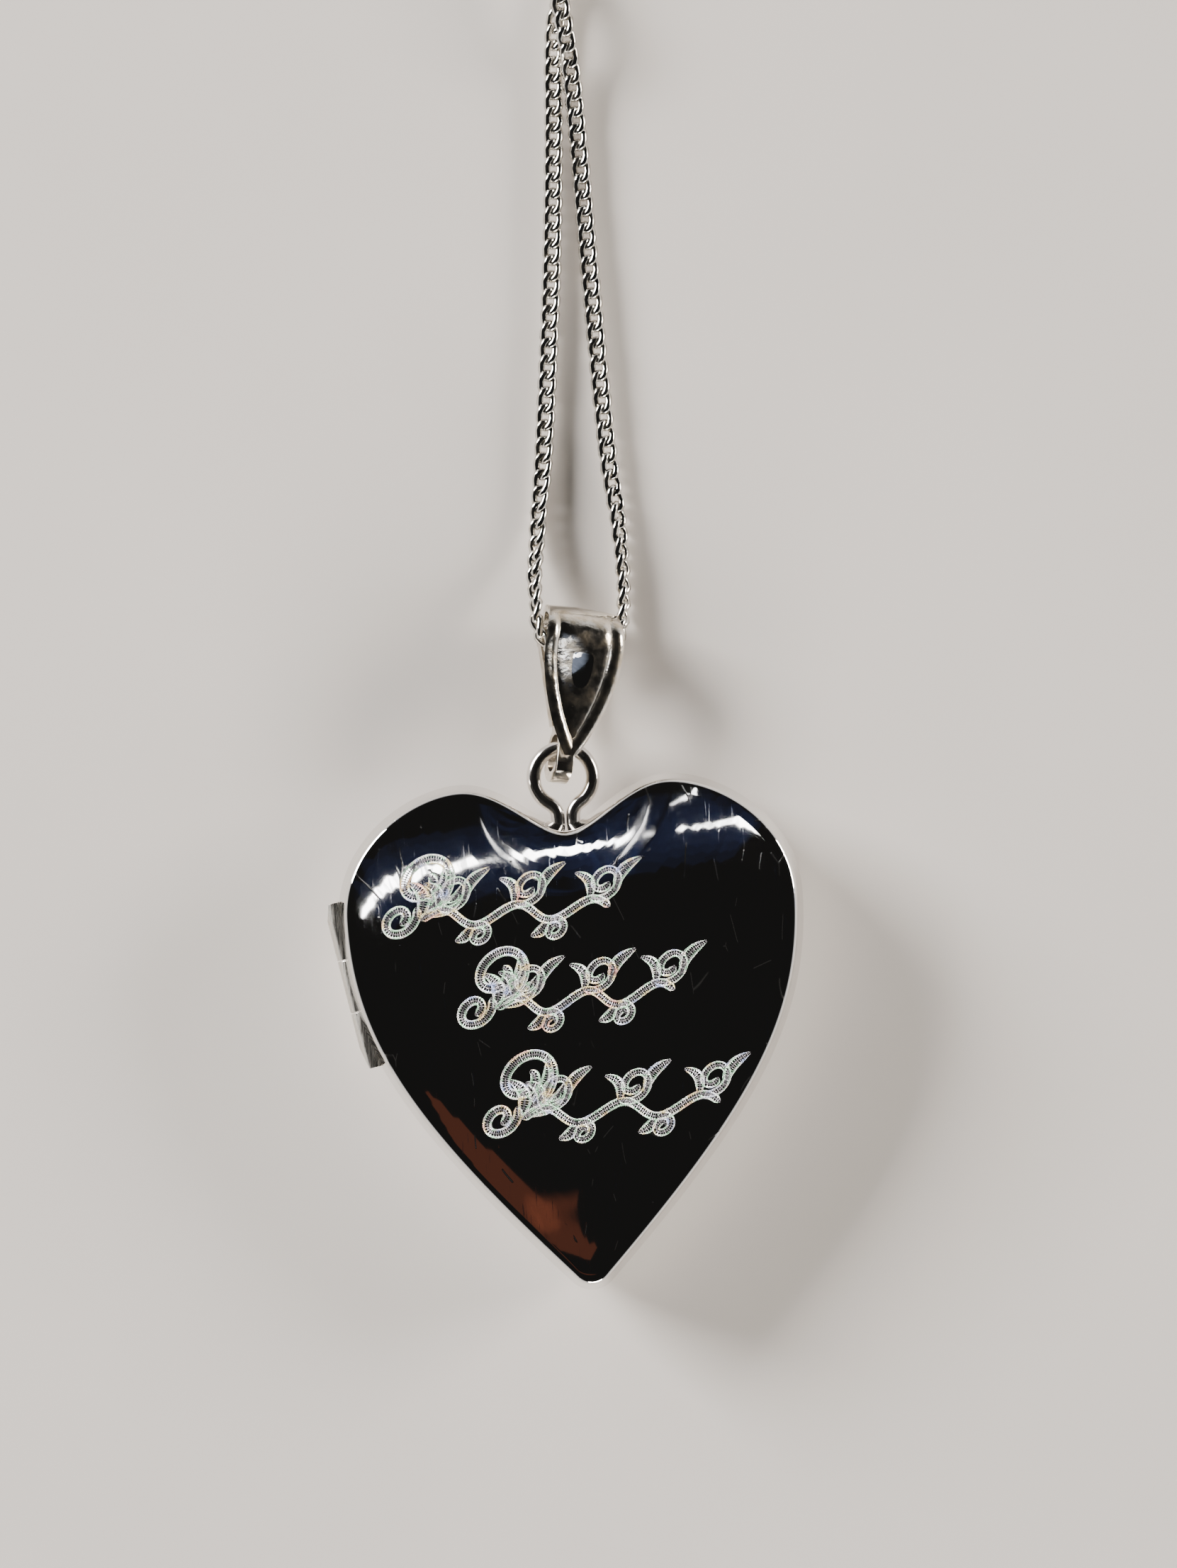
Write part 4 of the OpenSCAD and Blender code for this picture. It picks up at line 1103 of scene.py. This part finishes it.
# %% Bright-cut engraving
bright_cut, shader = finish("bright_cut_silver", "#f4f2ee", 1.0, 0.32)
uv = add(bright_cut, "ShaderNodeUVMap", uv_map=scrollwork.data.uv_layers.active.name).outputs[0]
cross = add(bright_cut, "ShaderNodeTexWave", {"Vector": uv, "Scale": 4.5, "Distortion": 1.2, "Detail": 1.0,
                                              "Detail Scale": 2.0}, bands_direction="X", wave_profile="SIN")
hue = noise(bright_cut, in_mm(bright_cut), 1.1, 2.0)
rainbow = add(bright_cut, "ShaderNodeValToRGB", {"Fac": ramp(bright_cut, hue, 0.25, 0.75)})
stops = rainbow.color_ramp.elements
stops[0].color, stops[1].color = colour("#f4bcb6"), colour("#bccaf6")
for at, tone in ((0.22, "#f8eeb8"), (0.42, "#ffffff"), (0.6, "#bdeecb"), (0.8, "#ffffff")):
    stops.new(at).color = colour(tone)
# The middle 0.1 mm of each stroke is painted dark grey, #8d8a90. This is a painted shade at the bottom of the cut,
# and it fades into the pastel tint towards the stroke's edges.
side = add(bright_cut, "ShaderNodeSeparateXYZ", {0: uv}).outputs[1]
groove_shade_mask = ramp(bright_cut, maths(bright_cut, "ABSOLUTE", side), 0.05, 0.1)
cut = add(bright_cut, "ShaderNodeMix", {"Factor": groove_shade_mask}, data_type="RGBA")
cut.inputs[6].default_value = colour("#8d8a90")
join(bright_cut, rainbow.outputs[0], cut.inputs[7])
join(bright_cut, cut.outputs[2], shader.inputs["Base Color"])
join(bright_cut, ramp(bright_cut, cross.outputs["Fac"], 0.2, 0.9, 0.26, 0.5), shader.inputs["Roughness"])
dented(bright_cut, shader, cross.outputs["Fac"], 0.9, 0.00004)

# %% [markdown]
# Inside, each photo card is matt printed card, left blank with a faint tooth, under a window of clear acetate
# film, which has a little grey of its own and a soft gloss.

# %% Card and acetate
card, shader = finish("blank_photo_card", "#e9e4d8", 0.0, 0.75)
tooth = noise(card, in_mm(card), 6.0, 4.0)
tinted(card, shader, tooth, "#efeadf", "#ded7c8")
dented(card, shader, tooth, 0.2, 0.00002)
acetate, shader = finish("clear_acetate", "#f4f5f4", 0.0, 0.06, Alpha=0.14, IOR=1.48)
dented(acetate, shader, noise(acetate, in_mm(acetate), 0.5, 1.0), 0.15, 0.0001)

# %% Who wears which finish
WEARS = {
    mirror_silver: [heart_front, heart_back, teardrop, bead],
    rim_silver: [wire_loop, spring_ring, clasp_trigger, tie_ring, last_ring],
    cast_silver: [bail_band, soft_parts[0]],
    chain_silver: [curb_chain],
    satin_silver: soft_parts[1:] + [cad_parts[n] for n in ("front_photo_frame", "back_photo_frame")],
    pin_steel: [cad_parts[n] for n in ("hinge_pin", "clasp_spring")],
    bright_cut: [scrollwork],
    card: [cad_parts[n] for n in ("front_photo_card", "back_photo_card")],
    acetate: [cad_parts[n] for n in ("front_photo_window", "back_photo_window")],
}
for material, wearers in WEARS.items():
    for obj in wearers:
        obj.data.materials.clear()
        obj.data.materials.append(material)
    print(material.name, "on", [o.name for o in wearers])
for wearer in WEARS[card] + WEARS[acetate]:
    wearer.data.shade_flat()

# %% [markdown]
# ## Floor and light
# The locket lies on a plain pale cloth-coloured floor. The dome of the face mirrors what is overhead, and it
# looks black because a dark room is there. So the light comes low from the sides: a sky that is bright near
# the horizon and dark above, and large soft panels placed under the angles that the face can see.

# %% Floor
bpy.ops.mesh.primitive_plane_add(size=3, location=(0, 0, -0.00003))
floor = started("floor")
cloth, shader = finish("pale_floor", "#e4e0dc", 0.0, 0.85)
tinted(cloth, shader, noise(cloth, in_mm(cloth), 0.06, 3.0), "#ece7e2", "#e2ddd7")
floor.data.materials.append(cloth)

# %% Sky and panels
world = bpy.data.worlds.new("dark_room")
bpy.context.scene.world = world
world.use_nodes = True
tree = world.node_tree
toward = tree.nodes.new("ShaderNodeTexCoord")
height = tree.nodes.new("ShaderNodeSeparateXYZ")
tree.links.new(toward.outputs["Generated"], height.inputs[0])
band = tree.nodes.new("ShaderNodeMapRange")
band.interpolation_type = "SMOOTHSTEP"
for key, value in (("From Min", 0.1), ("From Max", 0.45), ("To Min", 1.1), ("To Max", 0.012)):
    band.inputs[key].default_value = value
tree.links.new(height.outputs["Z"], band.inputs["Value"])
back = tree.nodes["Background"]
back.inputs["Color"].default_value = colour("#f4f2f0")
tree.links.new(band.outputs[0], back.inputs["Strength"])


def panel(name, where, size, energy, tone="#ffffff"):
    """A soft panel that faces the locket."""
    data = bpy.data.lights.new(name, "AREA")
    data.shape, data.size, data.size_y, data.energy = "RECTANGLE", size[0], size[1], energy
    data.color = colour(tone)[:3]
    lamp = bpy.data.objects.new(name, data)
    lamp.location = where
    lamp.rotation_euler = (Vector((0, 0.012, 0)) - Vector(where)).to_track_quat("-Z", "Y").to_euler()
    bpy.context.scene.collection.objects.link(lamp)
    return lamp


panel("window_left", (-0.8, 0.55, 0.36), (0.5, 0.3), 29, "#fffaf6")
panel("window_right", (0.85, 0.25, 0.26), (0.4, 0.2), 10, "#fff6ec")
panel("bounce", (0.1, -0.85, 0.26), (0.6, 0.2), 9, "#fff8f0")

# %% [markdown]
# Long narrow lights draw the white streaks on the lobes and on the teardrop. Each one's shape is found from
# its reflection: a ray from the camera to each place where the streak should lie is bounced off the metal,
# and the light is put where the ray meets its height. None is seen directly. The curved face would show a
# light a second time in the valley, so each is flagged: it works out where on the face a ray came from, and
# glows only for the places it was set for. A faint blue halo lies round the streaks, and a dull brown patch
# near the lower left edge is the reflection of a hand. All of them are set for the closed locket at rest.

# %% Streak light
LIGHT_Z = 0.4
STREAK = [  # points along the streak on the face, mm, with half its width there
    (-9.9, 6.1, 0.05), (-9.45, 6.75, 0.16), (-8.6, 7.5, 0.27), (-7.5, 7.98, 0.28), (-6.0, 8.2, 0.21),
    (-4.0, 8.42, 0.17), (-2.0, 8.6, 0.16), (0.0, 8.72, 0.16), (1.8, 8.95, 0.14), (3.2, 9.15, 0.1),
    (4.2, 9.3, 0.03)]
PATCH = [(5.2, 9.4, 0.03), (6.2, 9.5, 0.1), (7.2, 9.55, 0.15), (8.1, 9.62, 0.2), (8.8, 9.35, 0.18),
         (9.4, 8.75, 0.05)]
FLICK = [(5.0, 10.6, 0.03), (5.7, 10.9, 0.09), (6.3, 11.3, 0.05)]
HAND = [(-7.3, -2.2, 0.05), (-5.7, -4.5, 0.45), (-3.5, -7.1, 0.6), (-1.4, -9.2, 0.7), (0.1, -10.4, 0.3)]
TEAR = [(0.2, 18.5, 0.05), (0.42, 18.05, 0.1), (0.9, 17.9, 0.11), (1.5, 18.2, 0.1), (1.85, 18.3, 0.04)]
TEAR_HAZE = [(0.6, 17.2, 0.25), (1.0, 17.9, 0.6), (1.1, 18.6, 0.5)]
LOWEST = 0.15  # a bounced ray is treated as climbing at least this steeply
tear_tree = BVHTree.FromPolygons([v.co.copy() for v in teardrop.data.vertices],
                                 [tuple(p.vertices) for p in teardrop.data.polygons])


def bounced(tree, x, y):
    at, normal, _, _ = tree.ray_cast(Vector((x, y, 10)) * MM, Vector((0, 0, -1)))
    if at is None:
        return None
    ray = (at - camera.location).normalized()
    out = ray - 2 * ray.dot(normal) * normal
    return at + out * ((LIGHT_Z - at.z) / max(out.z, LOWEST))


def streak_light(name, marks, glow, tree=front_tree, reach=1.2, tone="#fdfdff"):
    """A ribbon of light that shines on the metal it was set for, and fades from reach mm away to twice that."""
    line = smooth_line(marks, 0.25 if tree is front_tree else 0.08)
    along = np.gradient(line[:, :2], axis=0)
    along /= np.linalg.norm(along, axis=1)[:, None]
    side = np.stack([-along[:, 1], along[:, 0]], 1) * line[:, 2:3]
    pairs = [[(p[:2] - d, bounced(tree, *(p[:2] - d))), (p[:2] + d, bounced(tree, *(p[:2] + d)))]
             for p, d in zip(line, side)]
    pairs = [pair for pair in pairs if all(at is not None for _, at in pair)]
    fresh()
    bpy.ops.mesh.primitive_grid_add(x_subdivisions=1, y_subdivisions=len(pairs) - 1)
    obj = started(name)
    spots = np.array([spot for pair in pairs for spot, _ in pair])
    co = np.array([at for pair in pairs for _, at in pair])
    obj.data.vertices.foreach_set("co", co.ravel())
    obj.data.update()
    for loop in obj.data.loops:
        obj.data.uv_layers.active.data[loop.index].uv = spots[loop.vertex_index]
    m = bpy.data.materials.new(name)
    m.use_nodes = True
    m.node_tree.nodes.clear()
    here = m.node_tree.nodes.new("ShaderNodeNewGeometry")
    level = face_z(0, 0)[0] * MM
    drop = maths(m, "SUBTRACT", level,
                 add(m, "ShaderNodeSeparateXYZ", {0: here.outputs["Position"]}).outputs[2])
    slope = add(m, "ShaderNodeSeparateXYZ", {0: here.outputs["Incoming"]}).outputs[2]
    back_along = add(m, "ShaderNodeVectorMath", {0: here.outputs["Incoming"],
                                                 "Scale": maths(m, "DIVIDE", drop, slope)},
                     operation="SCALE").outputs[0]
    seen_at = vectors(m, "ADD", here.outputs["Position"], back_along)
    seen_at = vectors(m, "MULTIPLY", seen_at, (1 / MM, 1 / MM, 0))
    set_for = add(m, "ShaderNodeTexCoord").outputs["UV"]
    away = add(m, "ShaderNodeVectorMath", {0: seen_at, 1: set_for}, operation="DISTANCE").outputs["Value"]
    glowing = add(m, "ShaderNodeEmission", {"Color": colour(tone),
                                            "Strength": ramp(m, away, reach, reach * 2, glow, 0.0)})
    clear = add(m, "ShaderNodeBsdfTransparent", {"Color": (1, 1, 1, 1)}).outputs[0]
    both = add(m, "ShaderNodeAddShader", {0: glowing.outputs[0], 1: clear}).outputs[0]
    join(m, both, add(m, "ShaderNodeOutputMaterial").inputs[0])
    obj.data.materials.append(m)
    obj.visible_camera = False
    print(name, "from", co.min(0).round(3), "to", co.max(0).round(3))


streak_light("streak", STREAK, 14)
streak_light("streak_patch", PATCH, 14)
streak_light("streak_flick", FLICK, 8)
for wide in (0.5, 0.9, 1.3, 1.7):
    streak_light("streak_halo", [(x, y, wide) for x, y, _ in STREAK[1:] + PATCH[1:-1]], 0.014, tone="#6f92ff")
streak_light("hand", HAND, 0.2, tone="#a5583c")
streak_light("tear_streak", TEAR, 10, tear_tree, 0.6)
streak_light("tear_haze", TEAR_HAZE, 0.5, tear_tree, 0.6, "#b4c2dc")
